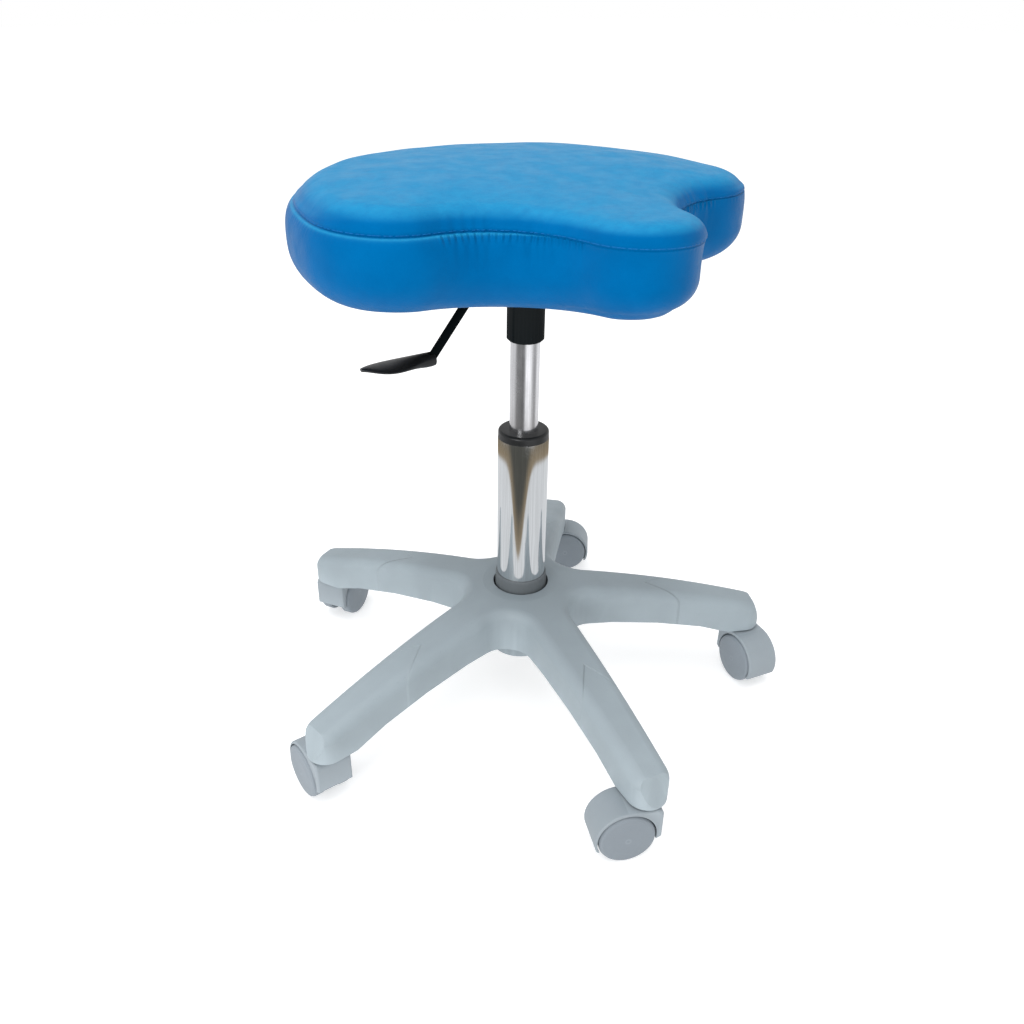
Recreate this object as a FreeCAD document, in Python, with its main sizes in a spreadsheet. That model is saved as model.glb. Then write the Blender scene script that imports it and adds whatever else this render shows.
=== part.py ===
"""Height-adjustable dentist's stool on a five-arm castor base.

A contoured upholstered seat turns and rises on a gas spring, which stands in a chromed column
on a moulded five-arm base with twin-wheel castors.  Every physical piece is its own object, and
each one is written to parts/<label>.step.

Frame, in millimetres: the origin is on the floor under the column, +Z is up, the rounded nose of
the seat points to -Y, and the height lever reaches out to -X.  The base stands turned a little
about the column, as it does when somebody has swivelled the seat.
"""
import FreeCAD, Part
import Sketcher
import math
import os

DIMENSIONS = [
    # column
    ("tube_radius", 25), ("tube_wall", 2), ("tube_foot", 62), ("tube_top", 304),
    ("collar_top", 312), ("guide_foot", 236), ("sleeve_radius", 26.8), ("sleeve_top", 149),
    ("sleeve_foot", 60), ("slip", 0.05),
    # gas spring
    ("cylinder_radius", 14), ("cylinder_wall", 1.5), ("cylinder_foot", 180), ("cylinder_top", 440),
    ("taper_start", 402), ("taper_radius", 13.3), ("rod_radius", 5), ("rod_tail_radius", 4),
    ("rod_foot", 59), ("rod_shoulder", 80), ("rod_top", 244), ("piston_foot", 232),
    ("button_radius", 4), ("button_foot", 429), ("button_top", 446), ("plug_depth", 10),
    # swivel bearing stack, from the end plate upwards
    ("plate_foot", 66), ("plate_top", 70), ("race_thickness", 1.5), ("race_radius", 12),
    ("ball_radius", 2.45), ("ball_track", 8.8), ("ball_count", 10),
    # seat mechanism
    ("socket_radius", 17.5), ("socket_foot", 402), ("chamber_radius", 14.5), ("chamber_foot", 441),
    ("slot_half", 5), ("slot_foot", 443.5), ("slot_top", 456), ("sheet", 3), ("mount_half", 70),
    ("mount_round", 14), ("mount_top", 468), ("ear_gap", 8), ("ear_sheet", 2.5), ("ear_half", 8),
    ("ear_foot", 444.5), ("screw_x", 55), ("screw_y", 50), ("screw_radius", 3),
    # lever
    ("lever_height", 450.5), ("lever_radius", 4), ("pivot_x", 36), ("pivot_radius", 2.5),
    ("lever_bend_x", 58.6), ("lever_bend", 13), ("paddle_bend_x", 98.8), ("paddle_bend", 6.5),
    ("paddle_height", 402), ("lever_inner_end", 4), ("rod_in_paddle", 14),
    # seat outline, as six tangent arcs
    ("nose_reach", 146), ("nose_radius", 50), ("scallop_radius", 86), ("lobe_x", 144.5),
    ("lobe_y", 24), ("lobe_radius", 61), ("back_reach", 177),
    # seat layers
    ("seat_swell", 3), ("cover_thickness", 1.5), ("cover_foot", 469), ("seam_height", 529),
    ("seat_top", 547), ("top_round", 16), ("foot_round", 26), ("board_inset", 27),
    ("board_foot", 470.6), ("board_thickness", 12),
    # five-arm base
    ("arm_count", 5), ("base_turn", -96.8), ("arm_reach", 253), ("tip_radius", 19),
    ("arm_root", 8), ("arm_root_half", 25), ("arm_foot", 59), ("hub_radius", 31), ("hub_foot", 57),
    ("crown_start", 40), ("crown_end", 262), ("crown_end_height", 90), ("crown_radius", 1212),
    ("hub_top", 136), ("recess_radius", 29), ("recess_depth", 14), ("web_round", 29),
    ("shoulder_round", 11), ("arm_skin", 4.5), ("channel_start", 66), ("channel_end", 232),
    ("rib_thickness", 2.5), ("socket_bore", 7.5), ("socket_top", 88),
    # castors
    ("stem_radius", 5.5), ("journal_radius", 5), ("journal_foot", 34), ("castor_trail", 20.8),
    ("wheel_radius", 26.5), ("wheel_inner", 7.5), ("wheel_face", 20), ("axle_radius", 3),
    ("hood_radius", 30), ("hood_half", 18), ("web_half", 7), ("hood_front", 12), ("wheel_room", 1.2),
    ("brow_round", 7), ("chin_height", 24), ("guard_low", -22),
]

# Direction in which each castor trails behind its stem, in degrees, at rest.
CASTOR_TURNS = [159.6, -98.8, -37.6, 34.7, 94.0]

# Arch under an arm, as (distance from the column, rise above the arms' foot).
ARCH_POINTS = [(62, 30), (100, 28.5), (150, 22), (200, 11.5)]

# Cross ribs under an arm, as (distance from the column, height of the lower edge).
RIBS = [(98, 92), (132, 88), (166, 82), (200, 75)]

# Lower edge of a castor's hood behind its chin, as (distance behind the stem, height).
HOOD_EDGE = [(6, 15), (34, 13)]

# Sections of the paddle, as (distance from the column, half width, half height, rise).
PADDLE_SECTIONS = [(97, 7.5, 6, 0), (112, 9.5, 5.5, 0), (128, 14, 3.6, 0), (143, 14.5, 2.6, 0),
                   (156, 9, 2, 1.5), (165, 2.5, 1.5, 2.5)]

# The four screws between seat plate and board stand at these corners.
SCREW_CORNERS = [("dim.screw_x", "dim.screw_y"), ("dim.screw_x", "-dim.screw_y"),
                 ("-dim.screw_x", "dim.screw_y"), ("-dim.screw_x", "-dim.screw_y")]

doc = FreeCAD.newDocument("dentist_stool")
sheet = doc.addObject("Spreadsheet::Sheet", "dim")
for row, (alias, number) in enumerate(DIMENSIONS, start=1):
    sheet.set(f"A{row}", alias.replace("_", " "))
    sheet.set(f"B{row}", str(number))
    sheet.setAlias(f"B{row}", alias)
for index, turn in enumerate(CASTOR_TURNS, start=1):
    row = len(DIMENSIONS) + index
    sheet.set(f"A{row}", f"castor turn {index}")
    sheet.set(f"B{row}", str(turn))
    sheet.setAlias(f"B{row}", f"castor_turn_{index}")
doc.recompute()

UP = FreeCAD.Vector(0, 0, 1)
parts = []


def value(text):
    """The number that an expression of the sheet's cells stands for."""
    return float(sheet.evalExpression(text))


# ---- sketches and features that every piece shares ----

def new_body(name):
    """A body for one sub-part, noted for export."""
    body = doc.addObject("PartDesign::Body", name)
    body.Label = name
    body.AllowCompound = True
    parts.append(body)
    return body


def plane(body, role):
    """One of the body's own origin planes."""
    return next(item for item in body.Origin.OriginFeatures if item.Role == role)


def new_sketch(body, name, role="XY_Plane", lift=None):
    """A sketch on an origin plane of the body, lifted off it by the expression lift."""
    sketch = body.newObject("Sketcher::SketchObject", f"{body.Name}_{name}")
    sketch.AttachmentSupport = [(plane(body, role), "")]
    sketch.MapMode = "FlatFace"
    if lift:
        sketch.setExpression("AttachmentOffset.Base.z", lift)
    return sketch


def pin_point(sketch, geometry, point, across, up):
    """Hold one point of a sketch at two expressions, measured from the origin."""
    for kind, text, axis in (("DistanceX", across, -2), ("DistanceY", up, -1)):
        if text == "0":
            sketch.addConstraint(Sketcher.Constraint("PointOnObject", geometry, point, axis))
        else:
            bind(sketch, Sketcher.Constraint(kind, -1, 1, geometry, point, value(text)), text)


def bind(sketch, new_constraint, text):
    """Add a dimension to a sketch and tie it to the sheet."""
    number = sketch.addConstraint(new_constraint)
    sketch.setExpression(f"Constraints[{number}]", text)


def draw_polygon(sketch, corners):
    """A closed outline of straight lines through corners given as pairs of expressions."""
    points = [FreeCAD.Vector(value(across), value(up), 0) for across, up in corners]
    first = sketch.GeometryCount
    for here, there in zip(points, points[1:] + points[:1]):
        sketch.addGeometry(Part.LineSegment(here, there), False)
    for step in range(len(points)):
        following = first + (step + 1) % len(points)
        sketch.addConstraint(Sketcher.Constraint("Coincident", first + step, 2, following, 1))
    for step, (across, up) in enumerate(corners):
        pin_point(sketch, first + step, 1, across, up)


def draw_chain(sketch, edges):
    """Lines and arcs in order, with each shared end made one point."""
    first = sketch.GeometryCount
    for edge in edges:
        sketch.addGeometry(edge, False)
    numbers = range(first, first + len(edges))
    for here, there in zip(numbers, list(numbers)[1:] + [first]):
        for own, other in ((1, 1), (1, 2), (2, 1), (2, 2)):
            if (sketch.getPoint(here, own) - sketch.getPoint(there, other)).Length < 1e-6:
                sketch.addConstraint(Sketcher.Constraint("Coincident", here, own, there, other))
                break


def draw_circle(sketch, radius, across="0", up="0"):
    """A circle given by expressions for its radius and its centre."""
    centre = FreeCAD.Vector(value(across), value(up), 0)
    number = sketch.addGeometry(Part.Circle(centre, UP, value(radius)), False)
    bind(sketch, Sketcher.Constraint("Radius", number, value(radius)), radius)
    pin_point(sketch, number, 3, across, up)


def turn_solid(body, name, corners):
    """Revolve a profile of (radius, height) corners about the body's Z axis."""
    sketch = new_sketch(body, f"{name}_profile", "XZ_Plane")
    draw_polygon(sketch, corners)
    feature = body.newObject("PartDesign::Revolution", f"{body.Name}_{name}")
    feature.Profile = sketch
    feature.ReferenceAxis = (sketch, ["V_Axis"])
    feature.Angle = 360
    return feature


def turn_away(body, name, corners):
    """Cut a revolved profile of (radius, height) corners from the body."""
    sketch = new_sketch(body, f"{name}_profile", "XZ_Plane")
    draw_polygon(sketch, corners)
    return groove(body, name, sketch)


def groove(body, name, sketch):
    """Cut a sketch on the XZ plane away all round the Z axis."""
    feature = body.newObject("PartDesign::Groove", f"{body.Name}_{name}")
    feature.Profile = sketch
    feature.ReferenceAxis = (sketch, ["V_Axis"])
    feature.Angle = 360
    return feature


def pad(body, name, sketch, length, midplane=False, backwards=False):
    """Extrude a sketch by an expression."""
    feature = body.newObject("PartDesign::Pad", f"{body.Name}_{name}")
    feature.Profile = sketch
    feature.setExpression("Length", length)
    feature.Midplane = midplane
    feature.Reversed = backwards
    return feature


def pocket(body, name, sketch, length, midplane=False, backwards=False):
    """Cut a sketch's extrusion away, and check that it removed something."""
    doc.recompute()
    before = body.Shape.Volume
    feature = body.newObject("PartDesign::Pocket", f"{body.Name}_{name}")
    feature.Profile = sketch
    feature.setExpression("Length", length)
    feature.Midplane = midplane
    feature.Reversed = backwards
    doc.recompute()
    if body.Shape.Volume > before - 0.5:
        raise RuntimeError(f"{feature.Name} removes nothing")
    return feature


def repeat_around(body, name, originals, count="dim.arm_count"):
    """Copy features evenly about the body's Z axis."""
    feature = body.newObject("PartDesign::PolarPattern", f"{body.Name}_{name}")
    feature.Originals = originals
    feature.Axis = (originals[0].Profile[0], ["N_Axis"])
    if originals[0].Profile[0].AttachmentSupport[0][0].Role != "XY_Plane":
        feature.Axis = (originals[0].Profile[0], ["V_Axis"])
    feature.Angle = 360
    feature.setExpression("Occurrences", count)
    body.Tip = feature
    return feature


def edges_where(shape, test):
    """Names of the edges whose sampled points all pass the test."""
    found = []
    for number, edge in enumerate(shape.Edges, start=1):
        points = edge.discretize(Number=5)
        if all(test(point) for point in points):
            found.append(f"Edge{number}")
    return found


def round_edges(body, name, test, radius, kind="PartDesign::Fillet"):
    """Fillet (or chamfer) the edges of the body's last feature that pass the test."""
    doc.recompute()
    base = body.Tip
    names = edges_where(base.Shape, test)
    if not names:
        raise RuntimeError(f"no edge to round in {body.Name}")
    feature = body.newObject(kind, f"{body.Name}_{name}")
    feature.Base = (base, names)
    feature.setExpression("Radius" if kind.endswith("Fillet") else "Size", radius)
    doc.recompute()
    return feature


def at_height(text):
    """Test for points that lie at a height."""
    height = value(text)
    return lambda point: abs(point.z - height) < 0.01


def on_rim(radius, height):
    """Test for points on a level circle about the Z axis."""
    wanted, level = value(radius), value(height)
    return lambda point: (abs(point.z - level) < 0.01
                          and abs(math.hypot(point.x, point.y) - wanted) < 0.01)


def draw_at_screws(sketch, radius):
    """The same circle round each of the four screws."""
    for across, up in SCREW_CORNERS:
        draw_circle(sketch, radius, across, up)


def turned_part(name, corners):
    """A whole sub-part made by one revolution."""
    body = new_body(name)
    turn_solid(body, "turned", corners)
    return body


def turned_ring(name, inner, outer, foot, top):
    """A plain ring between two radii and two heights."""
    return turned_part(name, [(inner, foot), (outer, foot), (outer, top), (inner, top)])


# ---- five-arm base ----

def arm_crown(radius):
    """Height of the arms' crown line at a distance from the column: one shallow arc."""
    inner = (value("dim.crown_start"), value("dim.hub_top"))
    outer = (value("dim.crown_end"), value("dim.crown_end_height"))
    crown_radius = value("dim.crown_radius")
    chord = math.dist(inner, outer)
    middle = ((inner[0] + outer[0]) / 2, (inner[1] + outer[1]) / 2)
    drop = math.sqrt(crown_radius ** 2 - chord ** 2 / 4)
    centre = (middle[0] + drop * (outer[1] - inner[1]) / chord,
              middle[1] - drop * (outer[0] - inner[0]) / chord)
    return centre[1] + math.sqrt(crown_radius ** 2 - (radius - centre[0]) ** 2)


def star_base():
    """Moulded base: hub and five hollow, arched arms with a castor socket in each tip."""
    body = new_body("star_base")
    hub = new_sketch(body, "hub", lift="dim.hub_foot")
    draw_circle(hub, "dim.hub_radius + 5")
    pad(body, "hub_block", hub, "dim.hub_top - dim.hub_foot")

    plan = new_sketch(body, "arm_plan", lift="dim.hub_foot")
    draw_arm_plan(plan)
    arm = pad(body, "arm", plan, "dim.hub_top - dim.hub_foot")
    repeat_around(body, "arms", [arm])
    round_edges(body, "webs", is_web_edge, "dim.web_round")

    crown = new_sketch(body, "crown_profile", "XZ_Plane")
    draw_crown_cut(crown)
    groove(body, "crown", crown)
    arch = [(f"{distance}", f"dim.arm_foot + {rise}") for distance, rise in ARCH_POINTS]
    turn_away(body, "arch", [
        ("dim.hub_radius", "dim.hub_foot - 9"), ("dim.hub_radius", "dim.arm_foot + 24"), *arch,
        ("dim.arm_reach - 20", "dim.arm_foot"), ("dim.arm_reach + 40", "dim.arm_foot"),
        ("dim.arm_reach + 40", "dim.hub_foot - 9")])
    round_edges(body, "shoulders", is_shoulder_edge, "dim.shoulder_round")
    hollow_arms(body)
    hollow_hub(body)
    sockets = new_sketch(body, "socket_plan", lift="dim.hub_foot - 1")
    draw_circle(sockets, "dim.socket_bore + dim.slip", "dim.arm_reach")
    bore = pocket(body, "socket", sockets, "dim.socket_top - dim.hub_foot + 2", backwards=True)
    repeat_around(body, "sockets", [bore])
    turn_with_base(body)


def draw_arm_plan(sketch):
    """Outline of one arm seen from above: two straight sides and a round tip, all tangent."""
    root, half = value("dim.arm_root"), value("dim.arm_root_half")
    reach, tip = value("dim.arm_reach"), value("dim.tip_radius")
    lean = math.atan2(half - tip, reach - root)
    touch = FreeCAD.Vector(reach + tip * math.sin(lean), tip * math.cos(lean), 0)
    mirror = FreeCAD.Vector(touch.x, -touch.y, 0)
    sketch.addGeometry(Part.LineSegment(FreeCAD.Vector(root, -half, 0), mirror), False)
    circle = Part.Circle(FreeCAD.Vector(reach, 0, 0), UP, tip)
    angle = math.pi / 2 - lean
    sketch.addGeometry(Part.ArcOfCircle(circle, -angle, angle), False)
    sketch.addGeometry(Part.LineSegment(touch, FreeCAD.Vector(root, half, 0)), False)
    closing = Part.LineSegment(FreeCAD.Vector(root, half, 0), FreeCAD.Vector(root, -half, 0))
    sketch.addGeometry(closing, False)
    sketch.addConstraint(Sketcher.Constraint("Tangent", 0, 2, 1, 1))
    sketch.addConstraint(Sketcher.Constraint("Tangent", 1, 2, 2, 1))
    sketch.addConstraint(Sketcher.Constraint("Coincident", 2, 2, 3, 1))
    sketch.addConstraint(Sketcher.Constraint("Coincident", 3, 2, 0, 1))
    pin_point(sketch, 1, 3, "dim.arm_reach", "0")
    bind(sketch, Sketcher.Constraint("Radius", 1, tip), "dim.tip_radius")
    pin_point(sketch, 0, 1, "dim.arm_root", "-dim.arm_root_half")
    pin_point(sketch, 2, 2, "dim.arm_root", "dim.arm_root_half")


def is_web_edge(point):
    """True on the upright edges where two neighbouring arms meet."""
    return math.hypot(point.x, point.y) < value("dim.hub_radius + 13")


def is_shoulder_edge(point):
    """True on the rim between the crown surface and the arms' sides."""
    distance = math.hypot(point.x, point.y)
    on_crown = value("dim.crown_start") < distance < value("dim.crown_end - 2.5")
    return on_crown and abs(point.z - arm_crown(distance)) < 0.05


def draw_crown_cut(sketch):
    """Region above the arms: level over the hub, one shallow arc outwards, then the tip's slope."""
    start, top = value("dim.crown_start"), value("dim.hub_top")
    end, end_height = value("dim.crown_end"), value("dim.crown_end_height")
    halfway = (start + end) / 2
    inner = FreeCAD.Vector(start, top, 0)
    middle = FreeCAD.Vector(halfway, arm_crown(halfway), 0)
    outer = FreeCAD.Vector(end, end_height, 0)
    corners = [
        FreeCAD.Vector(end + 12, end_height - 35, 0), FreeCAD.Vector(end + 40, end_height - 35, 0),
        FreeCAD.Vector(end + 40, top + 35, 0), FreeCAD.Vector(start - 20, top + 35, 0),
        FreeCAD.Vector(start - 20, top, 0)]
    trail = [outer] + corners + [inner]
    sides = [Part.LineSegment(here, there) for here, there in zip(trail, trail[1:])]
    draw_chain(sketch, [Part.Arc(inner, middle, outer)] + sides)


def hollow_arms(body):
    """Open the arms from below, leave a skin, and brace each channel with cross ribs."""
    side = new_sketch(body, "channel_side", "XZ_Plane")
    start, end = value("dim.channel_start"), value("dim.channel_end")
    skin = value("dim.arm_skin")
    ceiling_in, ceiling_out = arm_crown(start) - skin, arm_crown(end) - skin - 1
    middle = (start + end) / 2
    draw_polygon(side, [
        ("dim.channel_start", "dim.hub_foot - 5"), ("dim.channel_end", "dim.hub_foot - 5"),
        ("dim.channel_end", f"{ceiling_out}"), (f"{middle}", f"{arm_crown(middle) - skin}"),
        ("dim.channel_start", f"{ceiling_in}")])
    channel = pocket(body, "channel", side, "2 * (dim.tip_radius - dim.arm_skin)", midplane=True)
    repeat_around(body, "channels", [channel])
    ribs = new_sketch(body, "rib_side", "XZ_Plane")
    for distance, foot in RIBS:
        near, far = f"{distance}", f"{distance} + dim.rib_thickness"
        top = f"{arm_crown(distance) - 3}"
        draw_polygon(ribs, [(near, f"{foot}"), (far, f"{foot}"), (far, top), (near, top)])
    rib = pad(body, "rib", ribs, "2 * (dim.tip_radius - dim.arm_skin) + 1", midplane=True)
    repeat_around(body, "ribs", [rib])


def hollow_hub(body):
    """Bore the hub for the column, sink the recess round it, and lighten it from below."""
    turn_away(body, "bore", [
        ("0", "dim.hub_foot - 5"), ("dim.sleeve_radius + dim.slip", "dim.hub_foot - 5"),
        ("dim.sleeve_radius + dim.slip", "dim.hub_top - dim.recess_depth"),
        ("dim.recess_radius", "dim.hub_top - dim.recess_depth"),
        ("dim.recess_radius", "dim.hub_top + 5"), ("0", "dim.hub_top + 5")])
    turn_away(body, "hub_hollow", [
        ("dim.hub_radius + 3", "dim.hub_foot - 5"), ("dim.channel_start - 9", "dim.hub_foot - 5"),
        ("dim.channel_start - 9", "dim.hub_top - 10"), ("dim.hub_radius + 3", "dim.hub_top - 9")])


def castor_sockets():
    """Steel sleeves pressed into the arm tips."""
    body = new_body("castor_sockets")
    sketch = new_sketch(body, "plan", lift="dim.arm_foot")
    draw_circle(sketch, "dim.socket_bore", "dim.arm_reach")
    draw_circle(sketch, "dim.stem_radius + dim.slip", "dim.arm_reach")
    ring = pad(body, "sleeve", sketch, "dim.socket_top - dim.arm_foot")
    repeat_around(body, "sleeves", [ring])
    turn_with_base(body)


def turn_with_base(body):
    """Stand a piece of the base in line with the arms."""
    turn = FreeCAD.Rotation(UP, value("dim.base_turn"))
    body.Placement = FreeCAD.Placement(FreeCAD.Vector(), turn)


def castor_stems():
    """Stems that hold the castors: journal below, collar, and grooved shank in the socket."""
    body = new_body("castor_stems")
    stages = [
        ("journal", "dim.journal_radius", "dim.journal_foot", "dim.arm_foot - 2.2"),
        ("collar", "dim.stem_radius + 3.5", "dim.arm_foot - 2.2", "dim.arm_foot - 0.2"),
        ("shank", "dim.stem_radius", "dim.arm_foot - 0.2", "dim.socket_top - 12"),
        ("waist", "dim.stem_radius - 0.7", "dim.socket_top - 12", "dim.socket_top - 8"),
        ("head", "dim.stem_radius", "dim.socket_top - 8", "dim.socket_top - 2")]
    pads = []
    for name, radius, foot, top in stages:
        sketch = new_sketch(body, f"{name}_plan", lift=foot)
        draw_circle(sketch, radius, "dim.arm_reach")
        pads.append(pad(body, name, sketch, f"{top} - ({foot})"))
    repeat_around(body, "stems", pads)
    turn_with_base(body)


def stem_clips():
    """Spring rings in the stems' grooves, which grip the sockets."""
    body = new_body("stem_clips")
    sketch = new_sketch(body, "plan", lift="dim.socket_top - 11.5")
    draw_circle(sketch, "dim.stem_radius", "dim.arm_reach")
    draw_circle(sketch, "dim.stem_radius - 0.65", "dim.arm_reach")
    ring = pad(body, "ring", sketch, "3")
    repeat_around(body, "rings", [ring])
    turn_with_base(body)


# ---- column and gas spring ----

def column_parts():
    """Sleeve, chromed tube, guide bush with its collar, end plate and thrust bearing."""
    turned_part("hub_sleeve", [
        ("dim.tube_radius + dim.slip", "dim.sleeve_foot"), ("dim.sleeve_radius", "dim.sleeve_foot"),
        ("dim.sleeve_radius", "dim.sleeve_top - 9"), ("dim.sleeve_radius - 0.6", "dim.sleeve_top"),
        ("dim.tube_radius + dim.slip", "dim.sleeve_top")])
    turned_ring("column_tube", "dim.tube_radius - dim.tube_wall", "dim.tube_radius",
                "dim.tube_foot", "dim.tube_top")
    guide = turned_part("column_guide", [
        ("dim.cylinder_radius + dim.slip", "dim.guide_foot"),
        ("dim.tube_radius - dim.tube_wall - dim.slip", "dim.guide_foot"),
        ("dim.tube_radius - dim.tube_wall - dim.slip", "dim.tube_top"),
        ("dim.tube_radius - 0.2", "dim.tube_top"), ("dim.tube_radius - 0.2", "dim.collar_top"),
        ("dim.cylinder_radius + dim.slip", "dim.collar_top")])
    round_edges(guide, "rim", on_rim("dim.tube_radius - 0.2", "dim.collar_top"), "2.8")
    turned_ring("column_end_plate", "dim.rod_tail_radius + 0.6",
                "dim.tube_radius - dim.tube_wall - dim.slip", "dim.plate_foot", "dim.plate_top")
    turned_ring("bearing_lower_race", "dim.rod_tail_radius + 1.6", "dim.race_radius",
                "dim.plate_top", "dim.plate_top + dim.race_thickness")
    bearing_balls()


def bearing_balls():
    """The thrust bearing's balls, in one ring between the races."""
    balls = []
    count = int(value("dim.ball_count"))
    height = "dim.plate_top + dim.race_thickness + dim.ball_radius + 0.05"
    for number in range(count):
        angle = math.radians(360 * number / count)
        ball = doc.addObject("Part::Sphere", f"ball_{number}")
        ball.setExpression("Radius", "dim.ball_radius")
        ball.setExpression("Placement.Base.x", f"dim.ball_track * {math.cos(angle)}")
        ball.setExpression("Placement.Base.y", f"dim.ball_track * {math.sin(angle)}")
        ball.setExpression("Placement.Base.z", height)
        balls.append(ball)
    group = doc.addObject("Part::Compound", "bearing_balls")
    group.Links = balls
    group.Label = "bearing_balls"
    parts.append(group)


def rod_parts():
    """What turns with the piston rod: upper race, washer, buffer, rod, clip and piston."""
    race_foot = "dim.plate_top + dim.race_thickness + 2 * dim.ball_radius + 0.1"
    turned_ring("bearing_upper_race", "dim.rod_tail_radius + 0.05", "dim.race_radius",
                race_foot, f"{race_foot} + dim.race_thickness")
    turned_ring("rod_washer", "dim.rod_tail_radius + 0.05", "dim.race_radius - 1.5",
                f"{race_foot} + dim.race_thickness", "dim.rod_shoulder")
    body = turned_ring("rubber_bumper", "dim.rod_radius + 0.2", "dim.race_radius - 1",
                       "dim.rod_shoulder + 0.1", "dim.rod_shoulder + 12")
    round_edges(body, "soft_edges", lambda point: math.hypot(point.x, point.y) >
                value("dim.race_radius - 1.1"), "2")
    turned_part("piston_rod", [
        ("0", "dim.rod_foot"), ("dim.rod_tail_radius", "dim.rod_foot"),
        ("dim.rod_tail_radius", "dim.rod_foot + 2"), ("dim.rod_tail_radius - 0.8", "dim.rod_foot + 2"),
        ("dim.rod_tail_radius - 0.8", "dim.rod_foot + 3.3"),
        ("dim.rod_tail_radius", "dim.rod_foot + 3.3"), ("dim.rod_tail_radius", "dim.rod_shoulder"),
        ("dim.rod_radius", "dim.rod_shoulder"), ("dim.rod_radius", "dim.piston_foot"),
        ("dim.rod_tail_radius", "dim.piston_foot"), ("dim.rod_tail_radius", "dim.rod_top"),
        ("0", "dim.rod_top")])
    turned_ring("rod_clip", "dim.rod_tail_radius - 0.75", "dim.rod_tail_radius + 3",
                "dim.rod_foot + 2.05", "dim.rod_foot + 3.25")
    turned_ring("piston", "dim.rod_tail_radius + 0.02", "dim.cylinder_radius - dim.cylinder_wall - 0.05",
                "dim.piston_foot", "dim.rod_top - 2")


def cylinder_parts():
    """Gas cylinder with its closed, bored top, the rod seal in its foot and the valve button."""
    inside = "dim.cylinder_radius - dim.cylinder_wall"
    turned_part("gas_cylinder", [
        (inside, "dim.cylinder_foot"), ("dim.cylinder_radius", "dim.cylinder_foot"),
        ("dim.cylinder_radius", "dim.taper_start"), ("dim.taper_radius", "dim.cylinder_top"),
        ("dim.button_radius + dim.slip", "dim.cylinder_top"),
        ("dim.button_radius + dim.slip", "dim.cylinder_top - dim.plug_depth"),
        ("dim.taper_radius - 1.6", "dim.cylinder_top - dim.plug_depth"),
        (inside, "dim.taper_start - 4")])
    turned_ring("rod_guide_seal", "dim.rod_radius + dim.slip", f"{inside} - 0.02",
                "dim.cylinder_foot + 0.5", "dim.cylinder_foot + 14")
    body = turned_part("valve_button", [
        ("0", "dim.button_foot"), ("dim.button_radius", "dim.button_foot"),
        ("dim.button_radius", "dim.button_top"), ("0", "dim.button_top")])
    round_edges(body, "crown", at_height("dim.button_top"), "1")


# ---- seat mechanism ----

def taper_socket():
    """Sleeve that grips the cylinder's taper and carries the seat plate."""
    body = turned_part("taper_socket", [
        ("dim.cylinder_radius + 0.02", "dim.socket_foot"), ("dim.socket_radius", "dim.socket_foot"),
        ("dim.socket_radius", "dim.mount_top - dim.sheet"),
        ("dim.chamber_radius", "dim.mount_top - dim.sheet"),
        ("dim.chamber_radius", "dim.chamber_foot"),
        ("dim.taper_radius + 0.02", "dim.chamber_foot"),
        ("dim.taper_radius + 0.02", "dim.cylinder_top")])
    round_edges(body, "lead", on_rim("dim.socket_radius", "dim.socket_foot"), "1.6",
                "PartDesign::Chamfer")
    slot = new_sketch(body, "slot_section", "YZ_Plane")
    draw_polygon(slot, [
        ("-dim.slot_half", "dim.slot_foot"), ("dim.slot_half", "dim.slot_foot"),
        ("dim.slot_half", "dim.slot_top"), ("-dim.slot_half", "dim.slot_top")])
    pocket(body, "lever_slot", slot, "dim.socket_radius + 1")


def seat_plate():
    """Flat steel plate under the board, with two ears that hold the lever's pivot pin."""
    body = new_body("seat_plate")
    under = "dim.mount_top - dim.sheet"
    plan = new_sketch(body, "plan", lift=under)
    draw_polygon(plan, [
        ("-dim.mount_half", "-dim.mount_half"), ("dim.mount_half", "-dim.mount_half"),
        ("dim.mount_half", "dim.mount_half"), ("-dim.mount_half", "dim.mount_half")])
    pad(body, "plate", plan, "dim.sheet")
    corner = value("dim.mount_half * sqrt(2)")
    round_edges(body, "corners", lambda point: abs(math.hypot(point.x, point.y) - corner) < 0.01,
                "dim.mount_round")
    bolts = new_sketch(body, "bolt_plan", lift=f"{under} - 1")
    draw_at_screws(bolts, "dim.screw_radius + 0.3")
    pocket(body, "bolt_holes", bolts, "dim.sheet + 2", backwards=True)
    ears = new_sketch(body, "ear_plan", lift="dim.ear_foot")
    near, far = "-dim.pivot_x + dim.ear_half", "-dim.pivot_x - dim.ear_half"
    for side in ("", "-"):
        inner, outer = f"{side}dim.ear_gap", f"{side}(dim.ear_gap + dim.ear_sheet)"
        draw_polygon(ears, [(far, inner), (near, inner), (near, outer), (far, outer)])
    pad(body, "ears", ears, f"{under} - dim.ear_foot")
    pivot = new_sketch(body, "pivot_side", "XZ_Plane")
    draw_circle(pivot, "dim.pivot_radius + dim.slip", "-dim.pivot_x", "dim.lever_height")
    pocket(body, "pivot_holes", pivot, "4 * dim.ear_gap", midplane=True)


def screw_group(name, stages, hexagon=None):
    """Four equal turned fasteners at the seat plate's corners, built as stacked pads."""
    body = new_body(name)
    for label, radius, bore, foot, top in stages:
        sketch = new_sketch(body, f"{label}_plan", lift=foot)
        if label == hexagon:
            for across, up in SCREW_CORNERS:
                draw_hexagon(sketch, radius, across, up)
        else:
            draw_at_screws(sketch, radius)
        if bore:
            draw_at_screws(sketch, bore)
        pad(body, label, sketch, f"{top} - ({foot})")


def draw_hexagon(sketch, radius, across, up):
    """A hexagon with its corners on a circle."""
    corners = []
    for step in range(6):
        angle = math.radians(60 * step)
        corners.append((f"{across} + {radius} * {math.cos(angle):.6f}",
                        f"{up} + {radius} * {math.sin(angle):.6f}"))
    draw_polygon(sketch, corners)


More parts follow.
